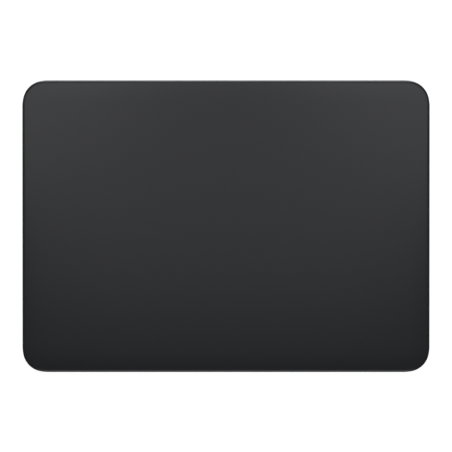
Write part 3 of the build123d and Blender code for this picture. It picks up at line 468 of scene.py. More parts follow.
# The CAD nodes of each finish, by their names or by what their names start with
FINISHED_NODES: dict[Finish, tuple[str, ...]] = {
    ALUMINIUM: ("housing",),
    GLASS: ("glass_surface",),
    COVER: ("bottom_cover",),
    RUBBER: ("foot",),
    ADHESIVE: ("cover_adhesive", "sensor_adhesive", "battery_adhesive"),
    SPRING_STEEL: ("flexure",),
    PLATE_STEEL: ("flexure_spacers", "actuator_base", "port_bracket", "support_plate"),
    SCREW_STEEL: (
        "flexure_screws", "actuator_screws", "port_screws", "switch_screws", "board_screws",
    ),
    CORE_STEEL: ("actuator_core", "armature"),
    COPPER: ("coil",),
    GAUGE_FILM: ("strain_gauges",),
    FLAT_CABLE: (
        "actuator_lead", "port_flex", "switch_flex", "battery_lead", "antenna_flex", "sensor_flex",
    ),
    PORT_STEEL: ("port_shell",),
    PORT_PLASTIC: ("port_tongue",),
    CONTACT_GOLD: ("port_contacts",),
    SWITCH_PLASTIC: ("switch_body",),
    KNOB_PLASTIC: ("switch_slider",),
    MARKER_GREEN: ("switch_marker",),
    POUCH_FOIL: ("battery_cell",),
    BOARD_GREEN: ("battery_protection_board",),
    BOARD_BLACK: ("logic_board", "antenna", "sensor_board"),
    SHIELD_STEEL: ("processor_shield", "power_shield"),
    CHIP_PLASTIC: ("board_chips", "touch_chips"),
    SOCKET_PLASTIC: ("board_sockets", "sensor_socket"),
    GEL: ("gel_pads",),
}


def finish_of(node: str) -> Finish:
    """Finds the finish of a CAD node by its name, or by the longest name it starts with.

    Args:
        node: The node's name.

    Returns:
        Its finish.
    """
    fits = {
        name: finish
        for finish, names in FINISHED_NODES.items()
        for name in names
        if node.startswith(name)
    }
    return fits[max(fits, key=len)]


def new_piece(
    name: str, points: np.ndarray, faces: Faces, finish: Finish, sharp_angle: float = 180.0
) -> bpy.types.Object:
    """Makes a smooth mesh object with its place in its mesh, and its faces outwards.

    Args:
        name: The piece's name.
        points: The vertices, an array of n by 3, in metres.
        faces: The vertices of each face of its closed shells, all turned the same way.
        finish: Its finish.
        sharp_angle: The turn in degrees from which an edge shows as sharp.

    Returns:
        The object, linked to the scene.
    """
    mesh = bpy.data.meshes.new(name)
    mesh.from_pydata(points.tolist(), [], faces)
    mesh.validate()
    shell = bmesh.new()
    shell.from_mesh(mesh)
    inside_out = shell.calc_volume(signed=True) < 0
    shell.free()
    if inside_out:
        mesh.flip_normals()
    mesh.polygons.foreach_set("use_smooth", np.ones(len(mesh.polygons), dtype=bool))
    mesh.set_sharp_from_angle(angle=math.radians(sharp_angle))
    mesh.materials.append(finish.material())
    piece = bpy.data.objects.new(name, mesh)
    bpy.context.scene.collection.objects.link(piece)
    return piece


def ring_faces(rings: int, around: int, copies: int = 1) -> Faces:
    """Joins closed rings of equal point counts into quads, from the first to the last.

    Args:
        rings: How many rings there are.
        around: How many points each has.
        copies: How many such tubes follow each other in the points.

    Returns:
        The faces of the tubes, and one cap polygon on each end ring.
    """
    index = np.arange(copies * rings * around).reshape(copies, rings, around)
    after = np.roll(index, -1, axis=2)
    quads = np.stack([index[:, :-1], index[:, 1:], after[:, 1:], after[:, :-1]], axis=-1)
    faces = [tuple(quad) for quad in quads.reshape(-1, 4).tolist()]
    faces += [tuple(cap) for cap in index[:, 0].tolist()]
    faces += [tuple(cap) for cap in index[:, -1, ::-1].tolist()]
    return faces


def loop_faces(rings: int, around: int) -> Faces:
    """Joins closed rings into quads, and the last ring to the first, as on a hoop.

    Args:
        rings: How many rings there are.
        around: How many points each has.

    Returns:
        The faces of the hoop.
    """
    index = np.arange(rings * around).reshape(rings, around)
    on, after = np.roll(index, -1, axis=0), np.roll(index, -1, axis=1)
    quads = np.stack([index, on, np.roll(on, -1, axis=1), after], axis=-1)
    return [tuple(quad) for quad in quads.reshape(-1, 4).tolist()]


def rounded_outline(
    half_width: float, half_depth: float, radius: float, arc_steps: int, side_steps: int = 1
) -> tuple[np.ndarray, np.ndarray]:
    """Points of a rounded rectangle and the outward normals there, anticlockwise.

    A corner's point is centre + radius * (cos t, sin t), and its normal is (cos t, sin t).
    A side's points are spread evenly between the corners at its ends.

    Args:
        half_width: Half its size along the first axis.
        half_depth: Half its size along the second axis.
        radius: The radius of its corners.
        arc_steps: Steps round each corner.
        side_steps: Steps along each side.

    Returns:
        Arrays of n by 2: the points and their normals.
    """
    points, normals = [], []
    corners = ((1, 1), (-1, 1), (-1, -1), (1, -1))
    for quadrant, corner in enumerate(corners):
        angles = (quadrant + np.linspace(0.0, 1.0, arc_steps + 1)) * RIGHT_ANGLE
        unit = np.stack([np.cos(angles), np.sin(angles)], axis=-1)
        middle = np.array([half_width - radius, half_depth - radius])
        arc = middle * corner + radius * unit
        side_end = middle * corners[(quadrant + 1) % 4] + radius * unit[-1]
        shares = np.linspace(0.0, 1.0, side_steps, endpoint=False)[1:, None]
        points += [arc, arc[-1] + shares * (side_end - arc[-1])]
        normals += [unit, np.broadcast_to(unit[-1], (side_steps - 1, 2))]
    return np.concatenate(points), np.concatenate(normals)


@dataclass
class Deck:
    """The plane of the glass, which leans forward, and the outline that lies on it.

    A point (x, y, z) on the deck is x across, y along to the rear and z above the glass top.
    """

    width: float = 160.0 * MM
    depth: float = 114.9 * MM
    front_height: float = 4.9 * MM
    rear_height: float = 10.9 * MM
    foot_height: float = 0.5 * MM
    underside_radius: float = 1.5 * MM
    corner_radius: float = 8.4 * MM
    blend_radius: float = 16.0 * MM
    blend_angle: float = math.radians(12.0)
    arc_steps: int = 24

    def __post_init__(self) -> None:
        """Works out the lean from the heights, as the CAD model does."""
        rise = self.rear_height - self.front_height
        lean = (self.rear_height - self.foot_height - self.underside_radius) * rise / self.depth
        self.tilt = math.atan2(rise, self.depth - lean)
        self.length = math.hypot(rise, self.depth - lean)
        self.origin = np.array([0.0, -lean / 2, (self.front_height + self.rear_height) / 2])

    def world(self, points: np.ndarray) -> np.ndarray:
        """Turns points on the deck by the tilt about X and moves them to its origin.

        Args:
            points: An array whose last axis is (x, y, z) on the deck.

        Returns:
            The same points in the shared frame.
        """
        cos, sin = math.cos(self.tilt), math.sin(self.tilt)
        turn = np.array([[1, 0, 0], [0, cos, sin], [0, -sin, cos]])
        return points @ turn + self.origin

    def outline(self) -> tuple[np.ndarray, np.ndarray]:
        """Points of the outline and the outward normals there, anticlockwise from above.

        Each corner is three arcs of radius b, c, b that turn by a, 90 - 2a and a degrees.
        A point is centre + radius * (cos t, sin t), and its normal is (cos t, sin t).

        Returns:
            Arrays of n by 2: the points and their normals.
        """
        big, small, turn = self.blend_radius, self.corner_radius, self.blend_angle
        extent = big * (1 + math.sin(turn) - math.cos(turn))
        extent += small * (math.cos(turn) - math.sin(turn))
        angles = np.linspace(0.0, RIGHT_ANGLE, self.arc_steps + 1)
        unit = np.stack([np.cos(angles), np.sin(angles)], axis=-1)
        first = np.array([math.cos(turn), math.sin(turn)])
        last = first[::-1]
        shift = (big - small) * (
            (angles >= turn)[:, None] * first
            - (angles > RIGHT_ANGLE - turn)[:, None] * last
        )
        middle = (angles >= turn) & (angles <= RIGHT_ANGLE - turn)
        radius = np.where(middle, small, big)[:, None]
        corner = np.array([self.width / 2 - big, self.length / 2 - extent])
        quarter = corner + shift + radius * unit
        points, normals = [], []
        for quadrant, flip in enumerate(((1, 1), (-1, 1), (-1, -1), (1, -1))):
            step = 1 if quadrant % 2 == 0 else -1
            points.append((quarter * flip)[::step])
            normals.append((unit * flip)[::step])
        return np.concatenate(points), np.concatenate(normals)


@dataclass
class TouchPlate:
    """The pane of glass over the whole top, with its softly falling edge."""

    deck: Deck
    thickness: float = 1.1 * MM
    roll_width: float = 7.5 * MM
    roll_depth: float = 0.22 * MM
    edge_width: float = 1.3 * MM
    edge_depth: float = 0.50 * MM
    under_chamfer: float = 0.10 * MM
    roll_steps: int = 14
    edge_steps: int = 20
    # The rings on the flat, as shares of the ring where the roll starts
    flat_rings: tuple[float, ...] = (0.2, 0.5, 0.88)

    def profile(self) -> np.ndarray:
        """Insets and heights from the flat over the faint roll and the round edge, downwards.

        The roll sinks by depth * (1 - inset / width)^2. The edge is a quarter of an ellipse:
        inset = width * (1 - sin s), and it sinks by a further depth * (1 - cos s).

        Returns:
            An array of n by 2, inset from the outline and height over the glass top.
        """
        roll = np.linspace(self.roll_width, self.edge_width, self.roll_steps, endpoint=False)
        turn = np.linspace(0.0, RIGHT_ANGLE, self.edge_steps)
        edge = self.edge_width * (1 - np.sin(turn))
        inset = np.concatenate([roll, edge])
        sunk = self.roll_depth * (1 - inset / self.roll_width) ** 2
        sunk[len(roll):] += self.edge_depth * (1 - np.cos(turn))
        under = np.array(
            [
                [0.0, self.under_chamfer - self.thickness],
                [self.under_chamfer, -self.thickness],
            ]
        )
        return np.concatenate([np.stack([inset, -sunk], axis=-1), under])

    def build(self) -> bpy.types.Object:
        """Carries the profile round the outline: point = outline - inset * normal.

        Returns:
            The pane.
        """
        outline, normals = self.deck.outline()
        profile = self.profile()
        rings = outline[None] - profile[:, None, :1] * normals[None]
        heights = np.broadcast_to(profile[:, None, 1:], (*rings.shape[:2], 1))
        side = np.concatenate([rings, heights], axis=-1)
        flat = side[0][None] * np.array(self.flat_rings)[:, None, None]
        grid = np.concatenate([flat, side])
        faces = ring_faces(len(grid), len(outline))
        points = self.deck.world(grid.reshape(-1, 3))
        pane = new_piece("glass_pane", points, faces, GLASS)
        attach(pane, "touch_plate")
        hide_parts("glass_surface")
        return pane


@dataclass
class Feet:
    """Four round rubber feet with a soft rim and a faintly dished sole."""

    rim_radius: float = 0.25 * MM
    dish_depth: float = 0.03 * MM
    around: int = 72
    rim_steps: int = 8
    sole_rings: int = 10
    # The innermost ring's share of the sole's radius
    pole_share: float = 0.05
    names: tuple[str, ...] = (
        "foot_front_left", "foot_front_right", "foot_rear_left", "foot_rear_right",
    )

    def foot(self, node: str) -> bpy.types.Object:
        """One foot, its profile turned about the upright axis of its CAD node's box.

        x = r cos t and y = -r sin t, with z rising in a cosine dish inside the rim.

        Args:
            node: The CAD node it stands for.

        Returns:
            The foot.
        """
        low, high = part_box(node)
        centre, radius = (low + high) / 2, (high.x - low.x) / 2
        flat = radius - self.rim_radius
        sole_radii = np.linspace(self.pole_share, 1.0, self.sole_rings) * flat
        dish = self.dish_depth * (1 + np.cos(np.pi * sole_radii / flat)) / 2
        angle = np.linspace(0, RIGHT_ANGLE, self.rim_steps)[1:]
        rim_radii = flat + self.rim_radius * np.sin(angle)
        rim = self.rim_radius * (1 - np.cos(angle))
        radii = np.concatenate([sole_radii, rim_radii, [radius]])
        heights = np.concatenate([dish, rim, [high.z - low.z]]) + low.z
        turn = np.linspace(0, FULL_TURN, self.around, endpoint=False)
        rings = np.stack(
            [
                centre.x + radii[:, None] * np.cos(turn),
                centre.y - radii[:, None] * np.sin(turn),
                np.broadcast_to(heights[:, None], (len(radii), self.around)),
            ],
            axis=-1,
        )
        faces = ring_faces(len(radii), self.around)
        foot = new_piece(f"{node}_pad", rings.reshape(-1, 3), faces, RUBBER)
        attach(foot, "base")
        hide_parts(node)
        return foot

    def build(self) -> list[bpy.types.Object]:
        """Makes the four feet."""
        return [self.foot(name) for name in self.names]


@dataclass(frozen=True)
class ScrewRow:
    """The screws of one node, in mm.

    Attributes:
        node: The CAD node.
        places: Where the screws stand.
        seat: How far the surface that the heads sit on lies under the glass, or how high it
            is over the desk where the row is level.
        clamped: The thickness under the heads, before the thread bites.
        level: True where the screws stand upright, and false where they are square to the glass.
    """

    node: str
    places: tuple[tuple[float, float], ...]
    seat: float
    clamped: float
    level: bool = False


SCREW_ROWS = (
    ScrewRow(
        "flexure_screws",
        (
            (-72.1, -35.8175), (-72.1, -30.6175), (72.1, -35.8175), (72.1, -30.6175),
            (-55.85, 47.1962), (-55.85, 52.3962), (55.85, 47.1962), (55.85, 52.3962),
        ),
        seat=3.15,
        clamped=0.4,
    ),
    ScrewRow(
        "actuator_screws",
        ((-24.05, -16.5219), (-24.05, 0.0781), (24.05, -16.5219), (24.05, 0.0781)),
        seat=4.2,
        clamped=0.5,
    ),
    ScrewRow("port_screws", ((-7.08, 52.6962), (7.08, 52.6962)), seat=7.13, clamped=0.4),
    ScrewRow("switch_screws", ((63.4, 51.0462), (72.0, 51.0462)), seat=7.1, clamped=0.8),
    ScrewRow(
        "board_screws",
        ((39.8, 8.8), (39.8, 40.8438), (72.0, 8.8), (72.0, 40.8438)),
        seat=3.8,
        clamped=0.8,
        level=True,
    ),
)


@dataclass
class Screws:
    """Low round screws with a softly domed head and a six-lobed recess."""

    deck: Deck
    head_radius: float = 1.1 * MM
    head_height: float = 0.45 * MM
    shank_radius: float = 0.5 * MM
    bite: float = 0.55 * MM
    recess_radius: float = 0.56 * MM
    recess_depth: float = 0.27 * MM
    lobes: int = 6
    lobe_share: float = 0.16
    tip_chamfer: float = 0.12 * MM
    around: int = 60
    crease: float = 38.0
    # Radius in recess radii, depth under the head's top in recess depths, share of the lobing
    recess_rings: tuple[tuple[float, float, float], ...] = (
        (0.20, 1.15, 0.0), (0.84, 1.0, 1.0), (0.92, 0.05, 1.0), (0.98, 0.0, 1.0), (1.20, 0.0, 0.2),
    )
    # Radius in head radii, height over the seat in head heights
    head_rings: tuple[tuple[float, float], ...] = (
        (0.82, 0.96), (0.94, 0.86), (0.99, 0.70), (1.0, 0.55), (1.0, 0.06), (0.97, 0.0),
    )
    rows: tuple[ScrewRow, ...] = SCREW_ROWS

    def profile(self, clamped: float) -> np.ndarray:
        """Radius, height over the seat and lobing, from the recess over the head to the tip.

        Args:
            clamped: The thickness under the head, before the thread bites.

        Returns:
            An array of n by 3.
        """
        recess = np.array(self.recess_rings) * [self.recess_radius, -self.recess_depth, 1.0]
        recess[:, 1] += self.head_height
        head = np.zeros((len(self.head_rings), 3))
        head[:, :2] = np.array(self.head_rings) * [self.head_radius, self.head_height]
        shank, tip = self.shank_radius, -(clamped + self.bite)
        stem = np.array(
            [
                [shank, 0.0, 0.0],
                [shank, tip + self.tip_chamfer, 0.0],
                [shank - self.tip_chamfer, tip, 0.0],
            ]
        )
        return np.concatenate([recess, head, stem])

    def row(self, row: ScrewRow) -> bpy.types.Object:
        """Turns the profile at each place: r = radius * (1 + lobing * cos 6t).

        Args:
            row: The places and the seat.

        Returns:
            The screws of the row, as one piece.
        """
        profile = self.profile(row.clamped * MM)
        turn = np.linspace(0.0, FULL_TURN, self.around, endpoint=False)
        lobing = 1 + self.lobe_share * profile[:, 2:] * np.cos(self.lobes * turn)
        radius = profile[:, :1] * lobing
        height = np.broadcast_to(profile[:, 1:2], radius.shape)
        screw = np.stack([radius * np.cos(turn), radius * np.sin(turn), height], axis=-1)
        seat = row.seat * MM if row.level else -row.seat * MM
        places = np.array([[x * MM, y * MM, seat] for x, y in row.places])
        points = (places[:, None, None] + screw[None]).reshape(-1, 3)
        if not row.level:
            points = self.deck.world(points)
        faces = ring_faces(len(profile), self.around, len(places))
        piece = new_piece(f"{row.node}_lobed", points, faces, SCREW_STEEL, self.crease)
        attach(piece, "base")
        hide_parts(row.node)
        return piece

    def build(self) -> list[bpy.types.Object]:
        """Makes every row of screws."""
        return [self.row(row) for row in self.rows]


@dataclass
class Coils:
    """The two coils of the actuator, wound in even turns round the middle legs of its cores."""

    deck: Deck
    start: float = 5.35 * MM
    length: float = 11.0 * MM
    along: float = -8.2219 * MM
    drop: float = 3.6 * MM
    inner_half_width: float = 4.1 * MM
    inner_half_height: float = 0.7 * MM
    inner_corner: float = 0.05 * MM
    build_up: float = 0.45 * MM
    turns: int = 32
    turn_steps: int = 6
    arc_steps: int = 7

    def coil(self, node: str, first: float) -> bpy.types.Object:
        """Carries a row of half-round turns along X, round the leg.

        With f from 0 to 180 degrees over each turn of pitch p, a point at
        x = p * (turn + (1 - cos f) / 2) lies build_up - p / 2 * (1 - sin f) outside the leg.

        Args:
            node: The CAD node it stands for.
            first: Where the coil starts along X, in metres.

        Returns:
            The coil.
        """
        pitch = self.length / self.turns
        angle = np.arange(self.turn_steps) * math.pi / self.turn_steps
        turns = np.arange(self.turns)[:, None] * pitch
        across = (turns + pitch * (1 - np.cos(angle)) / 2).ravel()
        outset = np.tile(self.build_up - pitch / 2 * (1 - np.sin(angle)), self.turns)
        across = np.concatenate([[0.0], across, [self.length, self.length]]) + first
        outset = np.concatenate([[0.0], outset, [self.build_up - pitch / 2, 0.0]])
        leg, normals = rounded_outline(
            self.inner_half_width, self.inner_half_height, self.inner_corner, self.arc_steps
        )
        section = leg[None] + outset[:, None, None] * normals[None]
        points = np.stack(
            [
                np.broadcast_to(across[:, None], section.shape[:2]),
                section[..., 0] + self.along,
                section[..., 1] - self.drop,
            ],
            axis=-1,
        )
        world = self.deck.world(points.reshape(-1, 3))
        coil = new_piece(f"{node}_wound", world, loop_faces(*section.shape[:2]), COPPER)
        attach(coil, "base")
        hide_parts(node)
        return coil

    def build(self) -> list[bpy.types.Object]:
        """Makes the left and the right coil."""
        left = -self.start - self.length
        return [self.coil("coil_left", left), self.coil("coil_right", self.start)]


@dataclass
class Pouch:
    """The battery's foil pouch: a crowned body with its side seams folded up, and its lip."""

    lip_length: float = 4.4 * MM
    lip_margin: float = 3.0 * MM
    lip_top: float = 3.9 * MM
    lip_thickness: float = 0.3 * MM
    lip_root: float = 1.2 * MM
    crimp: float = 0.05 * MM
    crimp_pitch: float = 0.55 * MM
    lip_steps: int = 120
    corner_radius: float = 2.0 * MM
    fold: float = 0.32 * MM
    fold_share: float = 0.66
    fold_edge: float = 0.02 * MM
    fold_root: float = 0.12 * MM
    # How far the seam's lower edge and the ring under it stand out, as shares of the fold
    seam_shares: tuple[float, float] = (0.85, 0.25)
    top_radius: float = 0.95 * MM
    under_radius: float = 0.3 * MM
    under_cut: float = 0.3
    crown: float = 0.14 * MM
    ripple: float = 0.035 * MM
    waves_long: float = 7.0
    waves_short: float = 5.0
    wave_slant: float = 2.0
    wave_shift: float = 1.0
    top_rings: int = 16
    # The innermost ring on top, and the rings on the underside, as shares of the flat's rim
    pole_share: float = 0.02
    under_rings: tuple[float, ...] = (0.5, 0.02)
    arc_steps: int = 8
    side_steps: int = 36
    crease: float = 50.0

    def surface(self, x: np.ndarray, y: np.ndarray) -> np.ndarray:
        """How far the top lies under its highest point.

        crown * (x^2 + y^2 - x^2 y^2) + ripple * (1 + sin(7x + 1) sin(5y + 2x)), which leaves
        the rim level.

        Args:
            x: From -1 to 1 along the pouch.
            y: From -1 to 1 across it.

        Returns:
            The depths at those places.
        """
        rim = 1 - (1 - x**2) * (1 - y**2)
        long_wave = np.sin(self.waves_long * x + self.wave_shift)
        short_wave = np.sin(self.waves_short * y + self.wave_slant * x)
        return self.crown * rim + self.ripple * (1 + long_wave * short_wave)

    def side(self, height: float) -> np.ndarray:
        """The side's rings, from the top's round edge over the folded seam to the underside.

        Args:
            height: The pouch's height.

        Returns:
            An array of n by 4: inset, share of the fold, depth under the top, share of the crown.
        """
        turn = np.linspace(0.0, RIGHT_ANGLE, self.arc_steps)
        whole = np.ones_like(turn)
        round_edge = np.stack(
            [
                self.top_radius * (1 - np.sin(turn)),
                whole,
                self.top_radius * (1 - np.cos(turn)),
                whole,
            ],
            axis=-1,
        )
        seam = height - self.fold_share * height
        under, cut = self.under_radius, self.under_cut * self.under_radius
        below = [
            [0.0, 1.0, seam - self.fold_edge, 0.0],
            [0.0, self.seam_shares[0], seam, 0.0],
            [0.0, self.seam_shares[1], seam + self.fold_edge, 0.0],
            [0.0, 0.0, seam + self.fold_root, 0.0],
            [0.0, 0.0, height - under, 0.0],
            [cut, 0.0, height - cut, 0.0],
            [under, 0.0, height, 0.0],
        ]
        return np.concatenate([round_edge, below])

    def body(self, low: np.ndarray, high: np.ndarray) -> tuple[np.ndarray, Faces]:
        """Carries a pouch's side round a rounded rectangle, from its top to its underside.

        The side seam is folded up against the long walls, so it stands out by fold there and
        fades by the square of the normal's y at the ends.

        Args:
            low: The lowest corner of the pouch without its lip.
            high: Its highest corner.

        Returns:
            The points and the faces.
        """
        middle, half = (low + high)[:2] / 2, (high - low)[:2] / 2
        outline, normals = rounded_outline(
            half[0], half[1], self.corner_radius, self.arc_steps, self.side_steps
        )
        folded = self.fold * normals[:, 1:] ** 2
        height = high[2] - low[2]
        rows = self.side(height)
        inset = rows[:, None, :1] + rows[:, None, 1:2] * folded[None]
        side = outline[None] - inset * normals[None]
        shares = np.linspace(self.pole_share, 1.0, self.top_rings, endpoint=False)
        top = side[0] * shares[:, None, None]
        under = side[-1] * np.array(self.under_rings)[:, None, None]
        flat = np.concatenate([top, side, under])
        sunk = np.concatenate([np.zeros(len(top)), rows[:, 2], np.full(len(under), height)])
        crowned = np.concatenate([np.ones(len(top)), rows[:, 3], np.zeros(len(under))])
        share = flat / half
        dip = crowned[:, None] * self.surface(share[..., 0], share[..., 1])
        z = high[2] - sunk[:, None] - dip
        points = np.concatenate([flat + middle, z[..., None]], axis=-1)
        return points.reshape(-1, 3), ring_faces(*flat.shape[:2])

    def lip(self, low: np.ndarray, high: np.ndarray) -> tuple[np.ndarray, Faces]:
        """The welded lip: a strip that is crimped by crimp / 2 * (cos(2 pi x / pitch) - 1).

        Args:
            low: The lowest corner of the whole node.
            high: Its highest corner.

        Returns:
            The points and the faces.
        """
        start = high[0] - self.lip_length - self.lip_root
        x = np.linspace(start, high[0], self.lip_steps)
        wave = self.crimp / 2 * (np.cos(FULL_TURN * (x - start) / self.crimp_pitch) - 1)
        upper = np.stack([x, self.lip_top + wave], axis=-1)
        lower = np.stack([x, self.lip_top - self.lip_thickness - wave], axis=-1)[::-1]
        section = np.concatenate([upper, lower])
        ends = np.array([low[1] + self.lip_margin, high[1] - self.lip_margin])
        points = np.stack(
            [
                np.broadcast_to(section[None, :, 0], (2, len(section))),
                np.broadcast_to(ends[:, None], (2, len(section))),
                np.broadcast_to(section[None, :, 1], (2, len(section))),
            ],
            axis=-1,
        )
        return points.reshape(-1, 3), ring_faces(2, len(section))

    def build(self) -> list[bpy.types.Object]:
        """Makes the body and the lip in the box of the battery's CAD node.

        Returns:
            The two pieces.
        """
        low, high = (np.array(corner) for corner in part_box("battery_cell"))
        body_high = high - [self.lip_length, 0.0, 0.0]
        pieces = [
            new_piece("battery_pouch", *self.body(low, body_high), POUCH_FOIL, self.crease),
            new_piece("battery_lip", *self.lip(low, high), POUCH_FOIL, self.crease),
        ]
        for piece in pieces:
            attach(piece, "base")
            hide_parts("battery_cell")
        return pieces


@dataclass
class SwitchSlider:
    """The power switch's slider: a dark plate behind the wall, and the knob on it.

    Depths are outwards from the rear face. The knob has a rib for the fingernail between two
    upright grooves.
    """

    deck: Deck
    middle: float = 68.9 * MM
    drop: float = 5.9 * MM
    plate_face: float = -1.35 * MM
    plate_thickness: float = 0.6 * MM
    plate_half_length: float = 3.9 * MM
    plate_half_height: float = 1.4 * MM
    plate_corner: float = 0.3 * MM
    plate_chamfer: float = 0.08 * MM
    plate_arc_steps: int = 6
    plate_crease: float = 30.0
    knob_proud: float = 0.15 * MM
    knob_half_length: float = 1.05 * MM
    knob_half_height: float = 0.8 * MM
    knob_corner: float = 0.72 * MM
    knob_edge: float = 0.2 * MM
    # How deep its root sits, as a share of the plate, and its innermost ring's share of its face
    root_share: float = 0.25
    pole_share: float = 0.03
    knob_crease: float = 60.0
    groove_from_middle: float = 0.52 * MM
    groove_half_width: float = 0.19 * MM
    groove_depth: float = 0.20 * MM
    face_rings: int = 18
    edge_steps: int = 8
    arc_steps: int = 16
    side_steps: int = 14

    def place(self, across: np.ndarray, up: np.ndarray, out: np.ndarray) -> np.ndarray:
        """Brings points of the rear face's own frame into the shared frame.

        Args:
            across: Where they lie along X from the slider's middle.
            up: Where they lie upwards from it.
            out: How far they stand out from the rear face.

        Returns:
            An array of n by 3.
        """
        along = self.deck.length / 2 + out
        points = np.stack([self.middle + across, along, up - self.drop], axis=-1)
        return self.deck.world(points.reshape(-1, 3))

    def plate(self) -> bpy.types.Object:
        """A flat plate with small chamfers, as rings from its face to its back.

        Returns:
            The plate.
        """
        outline, normals = rounded_outline(
            self.plate_half_length, self.plate_half_height, self.plate_corner, self.plate_arc_steps
        )
        edge, back = self.plate_chamfer, self.plate_face - self.plate_thickness
        inset = np.array([edge, 0.0, 0.0, edge])
        depth = np.array([self.plate_face, self.plate_face - edge, back + edge, back])
        rings = outline[None] - inset[:, None, None] * normals[None]
        out = np.broadcast_to(depth[:, None], rings.shape[:2])
        points = self.place(rings[..., 0], rings[..., 1], out)
        faces = ring_faces(*rings.shape[:2])
        return new_piece("switch_plate", points, faces, SWITCH_PLASTIC, self.plate_crease)

    def groove(self, across: np.ndarray) -> np.ndarray:
        """How deep the two grooves are: depth * (1 + cos(pi q)) / 2 for |q| < 1.

        Args:
            across: Places along X from the knob's middle. q is the distance from the nearer
                groove's middle in half widths.

        Returns:
            The depths at those places.
        """
        from_groove = np.abs(np.abs(across) - self.groove_from_middle) / self.groove_half_width
        share = np.clip(from_groove, 0.0, 1.0)
        return self.groove_depth * (1 + np.cos(math.pi * share)) / 2

    def knob(self) -> bpy.types.Object:
        """Rings from the knob's face over its round edge and down into the plate.

        The edge is inset = r (1 - sin a), sunk by r (1 - cos a), and the grooves fade along it
        with cos a.

        Returns:
            The knob.
        """
        outline, normals = rounded_outline(
            self.knob_half_length,
            self.knob_half_height,
            self.knob_corner,
            self.arc_steps,
            self.side_steps,
        )
        angle = np.linspace(0.0, RIGHT_ANGLE, self.edge_steps)
        inset = np.concatenate([self.knob_edge * (1 - np.sin(angle)), [0.0]])
        sunk = np.concatenate([self.knob_edge * (1 - np.cos(angle)), [0.0]])
        side = outline[None] - inset[:, None, None] * normals[None]
        shares = np.linspace(self.pole_share, 1.0, self.face_rings, endpoint=False)
        rings = np.concatenate([side[0] * shares[:, None, None], side])
        sunk = np.concatenate([np.zeros(self.face_rings), sunk])
        fade = np.concatenate([np.ones(self.face_rings), np.cos(angle), [0.0]])
        out = self.knob_proud - sunk[:, None] - fade[:, None] * self.groove(rings[..., 0])
        out[-1] = self.plate_face - self.root_share * self.plate_thickness
        points = self.place(rings[..., 0], rings[..., 1], out)
        faces = ring_faces(*rings.shape[:2])
        return new_piece("switch_knob", points, faces, KNOB_PLASTIC, self.knob_crease)

    def build(self) -> list[bpy.types.Object]:
        """Makes the plate and the knob, which slide together.

        Returns:
            The two pieces.
        """
        pieces = [self.plate(), self.knob()]
        for piece in pieces:
            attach(piece, "switch_slider")
            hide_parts("switch_slider")
        return pieces


@dataclass
class SensorRibbon:
    """The flat cable from the logic board up to the sensor board."""

    deck: Deck
    across: float = 42.2 * MM
    plug_along: tuple[float, float] = (26.4762 * MM, 29.6762 * MM)
    plug_drop: float = 2.925 * MM
    board_y: tuple[float, float] = (34.6438 * MM, 37.8438 * MM)
    board_z: float = 4.675 * MM
    width: float = 5.0 * MM
    thickness: float = 0.15 * MM
    # The radius of its long edges, as a share of half its thickness
    edge_share: float = 0.6
    edge_steps: int = 3
    bend_steps: int = 28
    crease: float = 50.0

    def path(self) -> np.ndarray:
        """The middle line in (y, z): a straight at each end, and a cubic between them.

        With s from 0 to 1 and rise d, z = z1 + m (s - 2s^2 + s^3) + d (3s^2 - 2s^3), where m
        is the slope of the first straight times the cubic's length along Y.

        Returns:
            An array of n by 2.
        """
        ends = np.array([[0.0, along, -self.plug_drop] for along in self.plug_along])
        first, second = self.deck.world(ends)[:, 1:]
        slope = (second[1] - first[1]) / (second[0] - first[0])
        s = np.linspace(0.0, 1.0, self.bend_steps)
        run, rise = self.board_y[0] - second[0], self.board_z - second[1]
        y = second[0] + run * s
        z = second[1] + slope * run * (s - 2 * s**2 + s**3) + rise * (3 * s**2 - 2 * s**3)
        bend = np.stack([y, z], axis=-1)
        return np.concatenate([[first], bend, [[self.board_y[1], self.board_z]]])

    def build(self) -> bpy.types.Object:
        """Carries a thin rounded section along the path, square to it.

        Returns:
            The ribbon.
        """
        path = self.path()
        way = np.gradient(path, axis=0)
        way /= np.linalg.norm(way, axis=1, keepdims=True)
        half = self.thickness / 2
        section, _ = rounded_outline(self.width / 2, half, self.edge_share * half, self.edge_steps)
        up = np.stack([-way[:, 1], way[:, 0]], axis=-1)
        rings = path[:, None] + section[None, :, 1:] * up[:, None]
        x = np.broadcast_to(self.across + section[None, :, 0], rings.shape[:2])
        points = np.concatenate([x[..., None], rings], axis=-1).reshape(-1, 3)
        faces = ring_faces(*rings.shape[:2])
        ribbon = new_piece("sensor_ribbon", points, faces, FLAT_CABLE, self.crease)
        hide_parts("sensor_flex")
        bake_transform(ribbon)
        return ribbon


class CarriedNodes:
    """The CAD nodes of the frame, each with its finish."""

    def dress(self) -> int:
        """Assigns to each node's object the material of its finish.

        Returns:
            How many nodes were dressed.
        """
        for name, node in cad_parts.items():
            material = finish_of(name).material()
            if not node.material_slots:
                node.data.materials.append(material)
            for slot in node.material_slots:
                slot.material = material
        return len(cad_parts)


@dataclass
class Lamp:
    """A softbox that faces the middle of the object. It is square where it has no depth."""

    name: str
    place: Point
    size: float
    power: float
    depth: float = 0.0

    def build(self) -> bpy.types.Object:
        """Adds the lamp, turned so that its face looks at the origin.

        Returns:
            The lamp.
        """
        light = bpy.data.lights.new(self.name, "AREA")
        light.shape = "RECTANGLE"
        light.size = self.size
        light.size_y = self.depth or self.size
        light.energy = self.power
        lamp = bpy.data.objects.new(self.name, light)
        lamp.location = self.place
        lamp.rotation_euler = (-Vector(self.place)).to_track_quat("-Z", "Y").to_euler()
        lamp.visible_camera = False
        bpy.context.scene.collection.objects.link(lamp)
        return lamp


